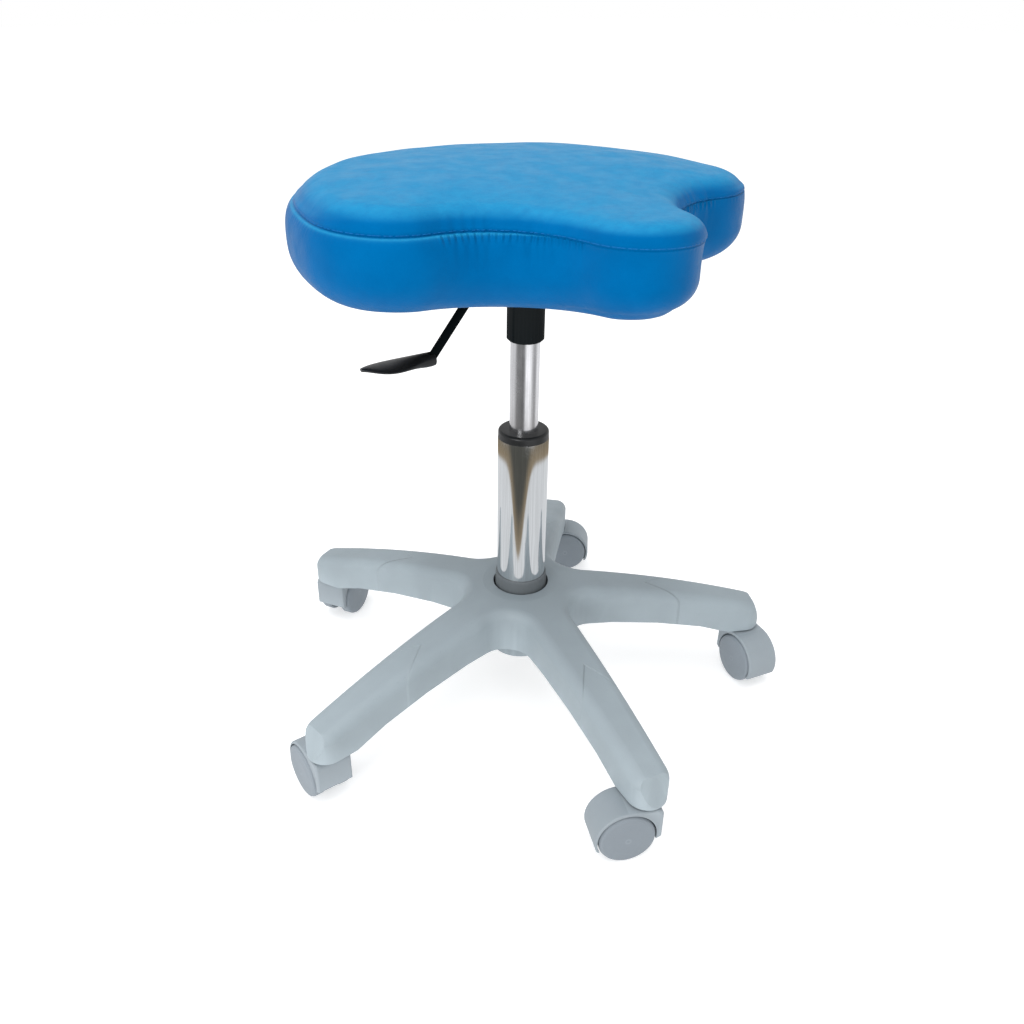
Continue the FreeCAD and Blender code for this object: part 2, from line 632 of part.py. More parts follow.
def plate_fasteners():
    """Hexagon screws from below and the tee nuts that they pull on in the board."""
    top = "dim.mount_top - dim.sheet"
    screw_group("plate_screws", [
        ("head", "5.8", None, f"{top} - 5.2", f"{top} - 1.2"),
        ("flange", "6.8", None, f"{top} - 1.2", top),
        ("shank", "dim.screw_radius", None, top, "dim.board_foot + 10")], hexagon="head")
    shelf = "dim.board_foot + dim.board_thickness"
    screw_group("tee_nuts", [
        ("barrel", "dim.screw_radius + 1.5", "dim.screw_radius + dim.slip",
         f"{shelf} - 9", f"{shelf} - 1.3"),
        ("flange", "9.5", "dim.screw_radius + dim.slip", f"{shelf} - 1.3", f"{shelf} - 0.1")])


# ---- seat ----

# The back arc passes the rearmost point and touches both lobes, which sets its radius.
LOBE_TO_BACK = "(dim.back_reach + dim.lobe_y - dim.lobe_radius)"
BACK_RADIUS = (f"(dim.back_reach + dim.lobe_y - ({LOBE_TO_BACK}^2 - dim.lobe_x^2)"
               f" / (2 * {LOBE_TO_BACK}))")


def outline_arcs(offset):
    """Arcs of the seat outline grown by offset, as (centre, radius, start angle, end angle).

    Going round to the left from the nose: nose, right scallop, right lobe, back, left lobe,
    left scallop.  Each scallop touches the nose and a lobe, and the back touches both lobes.
    """
    nose = (0.0, -value("dim.nose_reach"))
    lobe = (value("dim.lobe_x"), -value("dim.lobe_y"))
    scallop_radius = value("dim.scallop_radius")
    to_nose = scallop_radius + value("dim.nose_radius")
    to_lobe = scallop_radius + value("dim.lobe_radius")
    span = math.dist(nose, lobe)
    along = (to_nose ** 2 - to_lobe ** 2 + span ** 2) / (2 * span)
    aside = math.sqrt(to_nose ** 2 - along ** 2)
    unit = ((lobe[0] - nose[0]) / span, (lobe[1] - nose[1]) / span)
    scallop = (nose[0] + unit[0] * along + unit[1] * aside, nose[1] + unit[1] * along - unit[0] * aside)
    back_radius = value(BACK_RADIUS)
    back = (0.0, value("dim.back_reach") - back_radius)

    def angle(origin, target):
        return math.atan2(target[1] - origin[1], target[0] - origin[0])

    nose_end = angle(nose, scallop)
    scallop_start, scallop_end = angle(scallop, lobe), angle(scallop, nose)
    lobe_start, lobe_end = angle(lobe, scallop), angle(back, lobe)
    turn = math.pi
    return [
        (nose, value("dim.nose_radius") + offset, -turn - nose_end, nose_end),
        (scallop, scallop_radius - offset, scallop_start, scallop_end % (2 * turn)),
        (lobe, value("dim.lobe_radius") + offset, lobe_start, lobe_end),
        (back, back_radius + offset, lobe_end, turn - lobe_end),
        ((-lobe[0], lobe[1]), value("dim.lobe_radius") + offset, turn - lobe_end, turn - lobe_start),
        ((-scallop[0], scallop[1]), scallop_radius - offset,
         turn - scallop_end % (2 * turn), turn - scallop_start)]


def draw_seat_outline(sketch, grow):
    """The seat outline in a sketch, grown by the expression grow and tied to the sheet."""
    for centre, radius, start, end in outline_arcs(value(grow)):
        circle = Part.Circle(FreeCAD.Vector(centre[0], centre[1], 0), UP, radius)
        sketch.addGeometry(Part.ArcOfCircle(circle, start, end), False)
    nose, right_scallop, right_lobe, back, left_lobe, left_scallop = range(6)
    start, end = 1, 2
    for joined in ((nose, end, right_scallop, end), (right_scallop, start, right_lobe, start),
                   (right_lobe, end, back, start), (back, end, left_lobe, start),
                   (left_lobe, end, left_scallop, end), (left_scallop, start, nose, start)):
        sketch.addConstraint(Sketcher.Constraint("Tangent", *joined))
    pin_point(sketch, nose, 3, "0", "-dim.nose_reach")
    pin_point(sketch, right_lobe, 3, "dim.lobe_x", "-dim.lobe_y")
    pin_point(sketch, left_lobe, 3, "-dim.lobe_x", "-dim.lobe_y")
    for number, text in ((nose, f"dim.nose_radius + ({grow})"),
                         (right_lobe, f"dim.lobe_radius + ({grow})"),
                         (left_lobe, f"dim.lobe_radius + ({grow})"),
                         (right_scallop, f"dim.scallop_radius - ({grow})"),
                         (left_scallop, f"dim.scallop_radius - ({grow})"),
                         (back, f"{BACK_RADIUS} + ({grow})")):
        bind(sketch, Sketcher.Constraint("Radius", number, value(text)), text)


def outline_pad(body, name, grow, foot, top):
    """Pad the seat outline, grown by an expression, between two heights."""
    sketch = new_sketch(body, f"{name}_outline", lift=foot)
    draw_seat_outline(sketch, grow)
    return pad(body, name, sketch, f"{top} - ({foot})")


def outline_pocket(body, name, grow, foot, top):
    """Cut the seat outline, grown by an expression, between two heights."""
    sketch = new_sketch(body, f"{name}_outline", lift=foot)
    draw_seat_outline(sketch, grow)
    return pocket(body, name, sketch, f"{top} - ({foot})", backwards=True)


def seat_board():
    """Plywood board with counterbored holes for the tee nuts."""
    body = new_body("seat_board")
    top = "dim.board_foot + dim.board_thickness"
    outline_pad(body, "blank", "-dim.board_inset", "dim.board_foot", top)
    for name, radius, foot in (("barrel_holes", "dim.screw_radius + 1.55", "dim.board_foot - 1"),
                               ("flange_seats", "10", f"{top} - 1.35")):
        sketch = new_sketch(body, f"{name}_plan", lift=foot)
        draw_at_screws(sketch, radius)
        pocket(body, name, sketch, f"{top} + 1 - ({foot})", backwards=True)


def dust_cover():
    """Thin sheet that closes the underside of the seat, between board and seat plate."""
    body = new_body("dust_cover")
    outline_pad(body, "sheet", "-dim.board_inset - 5", "dim.mount_top + 0.05", "dim.cover_foot - 0.05")
    sketch = new_sketch(body, "hole_plan", lift="dim.mount_top - 1")
    draw_at_screws(sketch, "dim.screw_radius + 1.5")
    pocket(body, "holes", sketch, "3", backwards=True)


def seat_foam():
    """Moulded foam that wraps over and round the board."""
    body = new_body("seat_foam")
    inside = "dim.seat_swell - dim.cover_thickness - 0.2"
    foot = "dim.board_foot"
    top = "dim.seat_top - dim.cover_thickness - 0.2"
    outline_pad(body, "block", inside, foot, top)
    round_edges(body, "top_round", at_height(top), "dim.top_round - dim.cover_thickness")
    round_edges(body, "foot_round", at_height(foot), "dim.foot_round - dim.cover_thickness")
    shelf = "dim.board_foot + dim.board_thickness + 0.1"
    outline_pocket(body, "board_space", "-dim.board_inset + 0.2", f"{foot} - 1", shelf)


def seat_cover_top():
    """Top panel of the cover, from the seam upwards."""
    body = new_body("seat_cover_top")
    foot = "dim.seam_height + 0.05"
    outline_pad(body, "panel", "dim.seat_swell", foot, "dim.seat_top")
    round_edges(body, "edge", at_height("dim.seat_top"), "dim.top_round")
    hollow_out(body, foot)


def seat_cover_band():
    """Side band of the cover, from the seam down and under, with its hem below the board."""
    body = new_body("seat_cover_band")
    outline_pad(body, "band", "dim.seat_swell", "dim.cover_foot", "dim.seam_height")
    round_edges(body, "roll", at_height("dim.cover_foot"), "dim.foot_round")
    hollow_out(body, "dim.seam_height")
    outline_pocket(body, "opening", "-dim.board_inset - 11", "dim.cover_foot - 1", "dim.cover_foot + 3")


def hollow_out(body, height):
    """Turn the body's solid into a sheet of cover thickness, open at its flat face at a height."""
    doc.recompute()
    base = body.Tip
    level = value(height)
    names = [f"Face{number}" for number, face in enumerate(base.Shape.Faces, start=1)
             if abs(face.BoundBox.ZMin - level) < 0.01 and abs(face.BoundBox.ZMax - level) < 0.01]
    skin = body.newObject("PartDesign::Thickness", f"{body.Name}_skin")
    skin.Base = (base, names)
    skin.setExpression("Value", "dim.cover_thickness")
    skin.Reversed = True
    doc.recompute()


# ---- lever ----

def lever_parts():
    """Lever rod with its cross tube, the pivot pin and the flat paddle."""
    lever_rod()
    body = new_body("lever_pivot_pin")
    side = new_sketch(body, "section", "XZ_Plane")
    draw_circle(side, "dim.pivot_radius", "-dim.pivot_x", "dim.lever_height")
    pad(body, "pin", side, "2 * (dim.ear_gap + dim.ear_sheet + 1)", midplane=True)
    lever_paddle()


def lever_rod():
    """Bent steel rod: level over the valve, down at a slant, then level into the paddle."""
    body = new_body("lever_rod")
    path = new_sketch(body, "path", "XZ_Plane")
    height, low = value("dim.lever_height"), value("dim.paddle_height")
    bend_x = value("dim.paddle_bend_x")
    corners = [FreeCAD.Vector(value("dim.lever_inner_end"), height, 0),
               FreeCAD.Vector(-value("dim.lever_bend_x"), height, 0),
               FreeCAD.Vector(-bend_x, low, 0),
               FreeCAD.Vector(-bend_x - value("dim.rod_in_paddle"), low, 0)]
    draw_chain(path, rounded_wire(corners, [value("dim.lever_bend"), value("dim.paddle_bend")]))
    section = new_sketch(body, "section", "YZ_Plane", lift="dim.lever_inner_end")
    draw_circle(section, "dim.lever_radius", "0", "dim.lever_height")
    rod = body.newObject("PartDesign::AdditivePipe", "lever_rod_pipe")
    rod.Profile = section
    rod.Spine = path
    tube = new_sketch(body, "tube_section", "XZ_Plane")
    draw_circle(tube, "dim.lever_radius + 2", "-dim.pivot_x", "dim.lever_height")
    pad(body, "cross_tube", tube, "2 * dim.ear_gap - 0.4", midplane=True)
    bore = new_sketch(body, "bore_section", "XZ_Plane")
    draw_circle(bore, "dim.pivot_radius + dim.slip", "-dim.pivot_x", "dim.lever_height")
    pocket(body, "pivot_bore", bore, "3 * dim.ear_gap", midplane=True)


def rounded_wire(corners, radii):
    """Lines through the corners with each inner corner rounded by an arc of its own radius."""
    edges = []
    here = corners[0]
    for before, corner, after, radius in zip(corners, corners[1:], corners[2:], radii):
        inward = (before - corner).normalize()
        outward = (after - corner).normalize()
        half = math.acos(inward.dot(outward)) / 2
        setback = radius / math.tan(half)
        first = corner + inward * setback
        last = corner + outward * setback
        bisector = (inward + outward).normalize()
        middle = corner + bisector * (radius / math.sin(half) - radius)
        edges.append(Part.LineSegment(here, first))
        edges.append(Part.Arc(first, middle, last))
        here = last
    edges.append(Part.LineSegment(here, corners[-1]))
    return edges


def lever_paddle():
    """Flat moulded paddle, thick where it holds the rod and thin at its tip."""
    body = new_body("lever_paddle")
    sketches = []
    for distance, half_width, half_height, rise in PADDLE_SECTIONS:
        sketch = new_sketch(body, f"section_{distance}", "YZ_Plane", lift=f"-{distance}")
        centre = FreeCAD.Vector(0, value(f"dim.paddle_height + {rise}"), 0)
        wide = centre + FreeCAD.Vector(half_width, 0, 0)
        tall = centre + FreeCAD.Vector(0, half_height, 0)
        sketch.addGeometry(Part.Ellipse(wide, tall, centre), False)
        sketches.append(sketch)
    loft = body.newObject("PartDesign::AdditiveLoft", "lever_paddle_loft")
    loft.Profile = sketches[0]
    loft.Sections = sketches[1:]
    depth = "-dim.paddle_bend_x - dim.rod_in_paddle - 0.2"
    bore = new_sketch(body, "bore_section", "YZ_Plane", lift=depth)
    draw_circle(bore, "dim.lever_radius + 0.02", "0", "dim.paddle_height")
    pocket(body, "rod_bore", bore, "30", backwards=True)
    mouth = new_sketch(body, "mouth_section", "YZ_Plane", lift="-dim.paddle_bend_x - 3.4")
    side, foot, top = "dim.lever_radius + 0.15", "dim.paddle_height - 4.1", "dim.paddle_height + 10"
    draw_polygon(mouth, [(f"-({side})", foot), (side, foot), (side, top), (f"-({side})", top)])
    pocket(body, "mouth", mouth, "20", backwards=True)


# ---- castors ----

def castor_place(number):
    """Placement of a castor's own frame: x trails the stem and z is up."""
    turn = value(f"dim.castor_turn_{number}")
    arm = math.radians(value(f"dim.base_turn + 360 / dim.arm_count * {number - 1}"))
    reach = value("dim.arm_reach")
    stem = FreeCAD.Vector(reach * math.cos(arm), reach * math.sin(arm), 0)
    return FreeCAD.Placement(stem, FreeCAD.Rotation(UP, turn))


def castor_hood(number):
    """Hood: central web that holds stem and axle, with a guard that wraps over both wheels."""
    body = new_body(f"castor_hood_{number}")
    side = new_sketch(body, "side", "XZ_Plane")
    draw_hood_side(side)
    pad(body, "shell", side, "2 * dim.hood_half", midplane=True)
    edge = value("dim.hood_half")
    round_edges(body, "soft_rim", lambda point: is_hood_rim(point, edge), "2")
    for name, foot in (("left_room", "dim.web_half"), ("right_room", "-dim.hood_half - 4")):
        sketch = new_sketch(body, f"{name}_side", "XZ_Plane", lift=f"-({foot}) - dim.hood_half - 4 + "
                            "dim.web_half")
        draw_circle(sketch, "dim.wheel_radius + dim.wheel_room", "dim.castor_trail", "dim.wheel_radius")
        pocket(body, name, sketch, "dim.hood_half + 4 - dim.web_half", backwards=True)
    stem = new_sketch(body, "stem_plan", lift="dim.journal_foot - 1")
    draw_circle(stem, "dim.journal_radius + dim.slip")
    pocket(body, "stem_bore", stem, "dim.arm_foot", backwards=True)
    axle = new_sketch(body, "axle_side", "XZ_Plane")
    draw_circle(axle, "dim.axle_radius + dim.slip", "dim.castor_trail", "dim.wheel_radius")
    pocket(body, "axle_bore", axle, "3 * dim.hood_half", midplane=True)
    body.Placement = castor_place(number)


def is_hood_rim(point, edge):
    """True on the outer rims of the hood's two sides, above the wheels' axle."""
    return abs(abs(point.y) - edge) < 0.01 and point.z > value("dim.journal_foot - 12")


def draw_hood_side(sketch):
    """Side view of the hood: round over the wheels, flat on top, upright at the front."""
    centre = FreeCAD.Vector(value("dim.castor_trail"), value("dim.wheel_radius"), 0)
    radius = value("dim.hood_radius")
    front, corner = value("dim.hood_front"), value("dim.brow_round")
    low = math.radians(value("dim.guard_low"))
    tail = centre + FreeCAD.Vector(radius * math.cos(low), radius * math.sin(low), 0)
    top = centre + FreeCAD.Vector(0, radius, 0)
    brow = FreeCAD.Vector(-front, top.y - corner, 0)
    brow_start = FreeCAD.Vector(-front + corner, top.y, 0)
    brow_middle = FreeCAD.Vector(-front + corner * (1 - math.sqrt(0.5)),
                                 top.y - corner * (1 - math.sqrt(0.5)), 0)
    chin = [FreeCAD.Vector(-front, value("dim.chin_height"), 0)]
    chin += [FreeCAD.Vector(distance, height, 0) for distance, height in HOOD_EDGE] + [tail]
    guard = Part.ArcOfCircle(Part.Circle(centre, UP, radius), low, math.pi / 2)
    trail = [brow] + chin
    sides = [Part.LineSegment(here, there) for here, there in zip(trail, trail[1:])]
    draw_chain(sketch, [guard, Part.LineSegment(top, brow_start),
                        Part.Arc(brow_start, brow_middle, brow)] + sides)


def castor_axle(number):
    """Steel axle that both wheels turn on."""
    body = new_body(f"castor_axle_{number}")
    side = new_sketch(body, "section", "XZ_Plane")
    draw_circle(side, "dim.axle_radius", "dim.castor_trail", "dim.wheel_radius")
    pad(body, "axle", side, "2 * (dim.wheel_face - 4)", midplane=True)
    body.Placement = castor_place(number)


def castor_wheel(number, label, side):
    """One wheel: a disc with a rounded tread, a domed outer face and a blind axle bore."""
    body = new_body(f"castor_wheel_{label}_{number}")
    turn_solid(body, "disc", [
        ("dim.axle_radius + dim.slip", "dim.wheel_inner"),
        ("dim.wheel_radius - 8", "dim.wheel_inner"), ("dim.wheel_radius - 7", "dim.wheel_inner + 1"),
        ("dim.wheel_radius - 3", "dim.wheel_inner + 1"), ("dim.wheel_radius - 1.5", "dim.wheel_inner"),
        ("dim.wheel_radius", "dim.wheel_inner + 1.5"), ("dim.wheel_radius", "dim.wheel_face - 3"),
        ("dim.wheel_radius - 1", "dim.wheel_face - 1"), ("dim.wheel_radius - 3", "dim.wheel_face"),
        ("dim.wheel_radius - 12", "dim.wheel_face + 0.8"), ("0", "dim.wheel_face + 1"),
        ("0", "dim.wheel_face - 3.5"), ("dim.axle_radius + dim.slip", "dim.wheel_face - 3.5")])
    tip = FreeCAD.Rotation(FreeCAD.Vector(1, 0, 0), -90 * side)
    hub = FreeCAD.Vector(value("dim.castor_trail"), 0, value("dim.wheel_radius"))
    body.Placement = castor_place(number).multiply(FreeCAD.Placement(hub, tip))


def check_and_write():
    """Refuse a failed feature or a broken shape, then write each sub-part's solid."""
    doc.recompute()
    for item in doc.Objects:
        if "Invalid" in item.State or "Error" in item.State:
            raise RuntimeError(f"{item.Name} failed: {item.State}")
    for part in parts:
        if part.Shape.isNull() or not part.Shape.isValid():
            raise RuntimeError(f"{part.Label} has no sound shape")
    os.makedirs("parts", exist_ok=True)
    for part in parts:
        part.Shape.exportStep(f"parts/{part.Label}.step")


star_base()
castor_sockets()
castor_stems()
stem_clips()
column_parts()
rod_parts()
cylinder_parts()
taper_socket()
seat_plate()
plate_fasteners()
seat_board()
dust_cover()
seat_foam()
seat_cover_top()
seat_cover_band()
lever_parts()
for castor in range(1, 6):
    castor_hood(castor)
    castor_axle(castor)
    castor_wheel(castor, "left", 1)
    castor_wheel(castor, "right", -1)
check_and_write()
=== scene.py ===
"""Dentist's stool: the looks of its surfaces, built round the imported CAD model.

Lengths are in metres in the CAD frame: the origin is on the floor under the column, +Z is up, the
seat's rounded nose points to -Y and the height lever reaches out to -X.
"""
import math

import bmesh
import bpy
import numpy as np
from mathutils import Matrix, Vector, noise
from mathutils.bvhtree import BVHTree


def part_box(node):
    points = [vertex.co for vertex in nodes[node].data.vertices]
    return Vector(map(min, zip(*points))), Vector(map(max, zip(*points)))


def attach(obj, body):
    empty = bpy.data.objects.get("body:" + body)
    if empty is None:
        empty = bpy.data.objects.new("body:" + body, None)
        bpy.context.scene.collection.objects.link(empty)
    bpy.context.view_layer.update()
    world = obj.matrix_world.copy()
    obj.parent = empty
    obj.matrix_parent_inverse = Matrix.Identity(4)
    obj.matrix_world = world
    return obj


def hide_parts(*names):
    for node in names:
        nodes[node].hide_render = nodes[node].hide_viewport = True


MM = 0.001
TURN = 2 * math.pi

# Star base: the low V-shaped step across each arm
ARM_COUNT = 5
FIRST_ARM_TURN = math.radians(-96.8)
STEP_START = 137 * MM        # from the column to the tip of the V
STEP_SLANT = 1.64            # how fast the V's legs run outwards
STEP_RAMP = 2 * MM
STEP_HEIGHT = 1.1 * MM

# Colours
BASE_GREY = (0.298, 0.350, 0.381)
HOOD_GREY = (0.28, 0.32, 0.35)
WHEEL_GREY = (0.225, 0.258, 0.29)
SLEEVE_GREY = (0.12, 0.135, 0.145)
BLACK = (0.012, 0.013, 0.014)
COAT_BLACK = (0.003, 0.005, 0.006)
RUBBER_BLACK = (0.02, 0.02, 0.02)
CLOTH_BLACK = (0.018, 0.018, 0.02)
CHROME = (0.80, 0.81, 0.82)
STEEL = (0.66, 0.665, 0.68)
ZINC = (0.50, 0.51, 0.52)
VINYL_PLAIN = (0.0, 0.110, 0.316)
VINYL_DEEP = (0.0, 0.095, 0.280)
# Painted highlight: a lighter blue laid on the top, where the light falls
VINYL_TOP_HIGHLIGHT = (0.009, 0.225, 0.445)
SIDE_SHEEN = (0.0, 0.5, 0.9)
TOP_SHEEN = (0.3, 0.7, 1.0)
THREAD_BLUE = (0.0, 0.12, 0.36)
WOOD_PALE = (0.62, 0.44, 0.26)
WOOD_BROWN = (0.42, 0.27, 0.14)
GLUE_BROWN = (0.2, 0.12, 0.06)

# Weave: a wave texture's scale is its waves a metre divided by this
WAVES_PER_SCALE = 6.3

# Cushion: its section, from the hem under the board to the middle of the top
COLUMNS = 720                # points round the seat
OUTLINE_RISE = 0.5 * MM      # the seat's outline is taken this high above the top panel's foot
OUTLINE_PASSES = 6           # smoothing of that outline, and of how hollow it is
HOLLOW_SHARE_PASSES = 40
SEAM_RISE = 65 * MM          # seam above the cushion's underside, at the back
TOP_RISE = 3 * MM            # crown of the stuffed top over the CAD's flat one
EDGE_INSET = 2.5 * MM        # how far the seam is pulled in from the CAD cover's side
TOP_ROUND = (20 * MM, 13 * MM)   # how far in and how high the top's edge is rounded
FOOT_ROUND = 32 * MM
HEM_INSET = 43 * MM          # hem of the cover, measured in from the side
BOARD_INSET = 30.2 * MM      # edge of the space that the board fills
BOARD_RISE = (1.5 * MM, 14 * MM)
FINE_BELOW_SEAM = 9 * MM     # the rings lie closer together from here to just above the seam
FINE_ABOVE_SEAM = 2.2 * MM
BOARD_RINGS = 4              # how many rings lie over the board, then under it, round the foot and so on
HEM_RING = BOARD_RINGS + 3
UNDER_RINGS = 4
FIRST_FOOT_RING = HEM_RING + UNDER_RINGS
FOOT_RINGS = 16
WALL_RINGS = 9
FINE_RINGS = 16
ROUND_RINGS = 18
TOP_RINGS = 34
INNERMOST = 0.03             # size of the last ring as a share of the first

# Cushion: the cloth that is blown up
PROXY_STEP = (2, 4)          # it takes every second ring from the hem on and every fourth column
VOXEL = 5.5 * MM
HELD_REACH = 3 * MM          # how far from the seam and the underside the cloth is held
PRESSURE = 4
CLOTH_QUALITY = 6
CLOTH_STEPS = 20
SWELL_CAP = 6 * MM
NEAR_CORNER = 0.2 * MM       # softens how much the nearest point of the cloth counts
SIDE_PASSES = 20             # smoothing of the cloth's motion on the band and on the top
TOP_PASSES = 150
TOP_DEPTH = 12 * MM

# Cushion: its stuffing, which is fuller on the left and sags towards the nose
LEFT_FILL = 8.5 * MM         # how far the stuffed side stands out beyond the seam at each lobe
RIGHT_FILL = 2 * MM
NOSE_FILL = -1.5 * MM
FILL_CHANGE = 200 * MM       # width over which the left fill passes into the right one
WIDEST = 0.62                # share of the band's height at which it stands out most
NOSE_START = 90 * MM         # how far in front of the column the nose begins
NOSE_LENGTH = 60 * MM
NOSE_LIFT = 4 * MM           # how much higher the rounded foot lies round the nose
NOSE_LIFT_RISE = 0.08        # share of the band's height over which that lift begins
FRONT_SAG = 7 * MM           # how much lower the sewn edge lies at the nose than at the back
SAG_START = 60 * MM          # behind the column, where the sag begins
SAG_LENGTH = 230 * MM
SIDE_LEAN = 0.009            # how much the top leans to the right
HOLLOW_PASSES = 700          # smoothing round the seat of what the hollows do
HOLLOW_DIP = 3 * MM          # how far the stretched cover pulls the top down in the scallops
DIP_START = 8 * MM
DIP_REACH = 35 * MM
HOLLOW_DROP = 5 * MM         # how much lower the underside hangs there
DROP_FADE = 1.6              # how soon that ends over the band's height
LEFT_DROOP = 8 * MM          # how much the top falls away round the left lobe
DROOP_CENTRE = (60 * MM, -60 * MM)
DROOP_RANGE = (245 * MM, 300 * MM)   # from that centre to where it starts and to where it is full
RIGHT_DROOP = 5 * MM         # the same at the end of the right lobe
RIGHT_DROOP_START = 100 * MM
RIGHT_DROOP_LENGTH = 100 * MM
DROOP_START = 12 * MM        # how far above the seam the top has begun to fall away

# Cushion: its seam, gathers and dents
SEAM_PROFILE = ((-0.9, 0.0, 1.0), (0.7, 2.5, 1.3), (0.15, -2.4, 1.2))   # in mm: height, place, width
SEAM_REACH = 60 * MM         # no stitching detail beyond this distance from the seam
GATHER_PITCH = 5.2 * MM
GATHER_REACH = 13 * MM       # how far the gathers run down from the seam
GATHER_DEPTH = 0.55 * MM
GATHER_WANDER = 6.0
GATHER_SHARE = (0.06, 1.0)   # how deep they are where the outline is straight and where it is hollow
FOLD_HEIGHT = 0.5            # soft folds among the gathers, in mm
FOLD_PITCH = 2.1 * GATHER_PITCH
FOLD_WANDER = 9
WANDER_CIRCLE = 9            # the folds wander by the noise on a circle of this radius at this height
WANDER_HEIGHT = 4.2
FOLD_PLACE = -4 * MM         # where the folds are deepest, their spread and where they end
FOLD_SPREAD = 17 * MM
FOLD_END = -45 * MM
DENT_START = 14 * MM         # the top is dented from this distance above the seam
DENT_DEPTH = 0.15 * MM
DENTS_PER_METRE = 34
STITCH_PITCH = 4.2 * MM
STITCH_SHARE = 0.42          # half of a stitch's length as a share of the pitch
STITCH_FACETS = (8, 6)
THREAD_RADIUS = 0.35 * MM
STITCH_RING = 2              # rings above the seam

# Dust cloth under the seat
DUST_INSET = 35 * MM
DUST_SAG = 2.6 * MM
DUST_THICKNESS = 0.3 * MM
DUST_FROM_EDGE = 25 * MM     # from its edge and from the plate to where it hangs fully
DUST_FROM_PLATE = 22 * MM
DUST_WAVES = 0.7             # how much the sag varies, and how fine the waves are
DUST_WAVES_PER_METRE = 26
DUST_RINGS = 50

# Painted reflection: what metal sees of the floor, a glowing pattern that stands in for a room
WEDGE_TURN = math.radians(222 - 360)   # direction of the dark wedge in front of the stool
WEDGE_SPREAD = 0.62
WEDGE_FADE = 0.17            # how far out the wedge turns from brown to dark
WEDGE_BROWN = (0.33, 0.265, 0.18)
WEDGE_DARK = (0.09, 0.09, 0.08)
PALE_FLOOR = (0.76, 0.78, 0.80)
PALE_REACH = 0.57            # how far the pale floor reaches, and how much less in the wedge
WEDGE_CUT = 0.28
FAR_START = 0.66
BAND_BLUR = 0.03
FAR_BANDS = ((0.0, 1.1), (0.42, 0.9), (0.50, 0.25), (0.64, 0.2), (0.70, 1.7), (0.79, 1.5),
             (0.82, 0.8), (0.87, 0.5), (0.91, 0.5), (0.95, 1.2), (1.0, 1.1))   # (share of a turn, level)

# Studio
FLOOR_SIZE = 30
FLOOR_GLOW = 0.46
ROOM_LIGHT = (0.72, 1.0)     # strength of the room on the stool and as the camera sees it
LAMPS = (("overhead", (-0.3, -0.1, 2.4), 2.2, 37), ("by_camera", (-2.0, -1.0, 0.9), 1.0, 20))
LAMP_TARGET = (0, 0, 0.4)
CAMERA_PLACE = (-0.4631, -0.6865, 0.6924)
CAMERA_HEADING = math.radians(33.3)
CAMERA_PITCH = math.radians(29.8)
CAMERA_ROLL = math.radians(0.8)
LENS_MM = 32.92
SENSOR_MM = 36

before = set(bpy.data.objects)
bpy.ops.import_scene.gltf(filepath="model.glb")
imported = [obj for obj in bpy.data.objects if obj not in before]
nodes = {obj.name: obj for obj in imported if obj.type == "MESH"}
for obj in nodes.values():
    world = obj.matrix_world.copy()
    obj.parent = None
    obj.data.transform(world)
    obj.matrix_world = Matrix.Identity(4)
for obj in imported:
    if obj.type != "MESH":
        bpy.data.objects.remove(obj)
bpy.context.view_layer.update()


# ---- node materials ----

def new_material(name):
    """A material with its node tree and its Principled shader."""
    material = bpy.data.materials.new(name)
    material.use_nodes = True
    tree = material.node_tree
    return material, tree, tree.nodes["Principled BSDF"]


def add_node(tree, kind, settings=None, **inputs):
    """A node with its settings and with the values, or the links, of its inputs."""
    node = tree.nodes.new(kind)
    for name, value in (settings or {}).items():
        setattr(node, name, value)
    for name, value in inputs.items():
        socket = node.inputs[name.replace("_", " ")]
        if isinstance(value, bpy.types.NodeSocket):
            tree.links.new(value, socket)
        else:
            socket.default_value = value
    return node


def place_coordinates(tree, stretch=(1, 1, 1)):
    """The surface's place on its piece, in metres, stretched along the axes."""
    coordinates = add_node(tree, "ShaderNodeTexCoord")
    mapping = add_node(tree, "ShaderNodeMapping", Vector=coordinates.outputs["Object"], Scale=stretch)
    return mapping.outputs["Vector"]


def noise_value(tree, place, per_metre, detail=3.0, roughness=0.55):
    """Fractal noise of a given fineness, from 0 to 1."""
    node = add_node(tree, "ShaderNodeTexNoise", Vector=place, Scale=per_metre, Detail=detail,
                    Roughness=roughness)
    return node.outputs["Fac"]


def mix_colours(tree, share, first, second):
    """A blend of two colours by a share."""
    node = tree.nodes.new("ShaderNodeMix")
    node.data_type = "RGBA"
    colour_sockets = [item for item in node.inputs if item.type == "RGBA"]
    wanted = ((node.inputs[0], share), (colour_sockets[0], first), (colour_sockets[1], second))
    for socket, value in wanted:
        if isinstance(value, bpy.types.NodeSocket):
            tree.links.new(value, socket)
        elif socket.type == "RGBA":
            socket.default_value = (*value, 1.0)
        else:
            socket.default_value = value
    return next(item for item in node.outputs if item.type == "RGBA")


def remap(tree, value, low, high, to_low=0.0, to_high=1.0):
    """A value moved smoothly from one range to another."""
    node = add_node(tree, "ShaderNodeMapRange", {"interpolation_type": "SMOOTHSTEP"}, Value=value)
    for name, number in (("From Min", low), ("From Max", high), ("To Min", to_low), ("To Max", to_high)):
        node.inputs[name].default_value = number
    return node.outputs["Result"]


def calculate(tree, operation, *values):
    """The result of one sum on values or links."""
    node = add_node(tree, "ShaderNodeMath", {"operation": operation})
    for socket, value in zip(node.inputs, values):
        if isinstance(value, bpy.types.NodeSocket):
            tree.links.new(value, socket)
        else:
            socket.default_value = value
    return node.outputs[0]


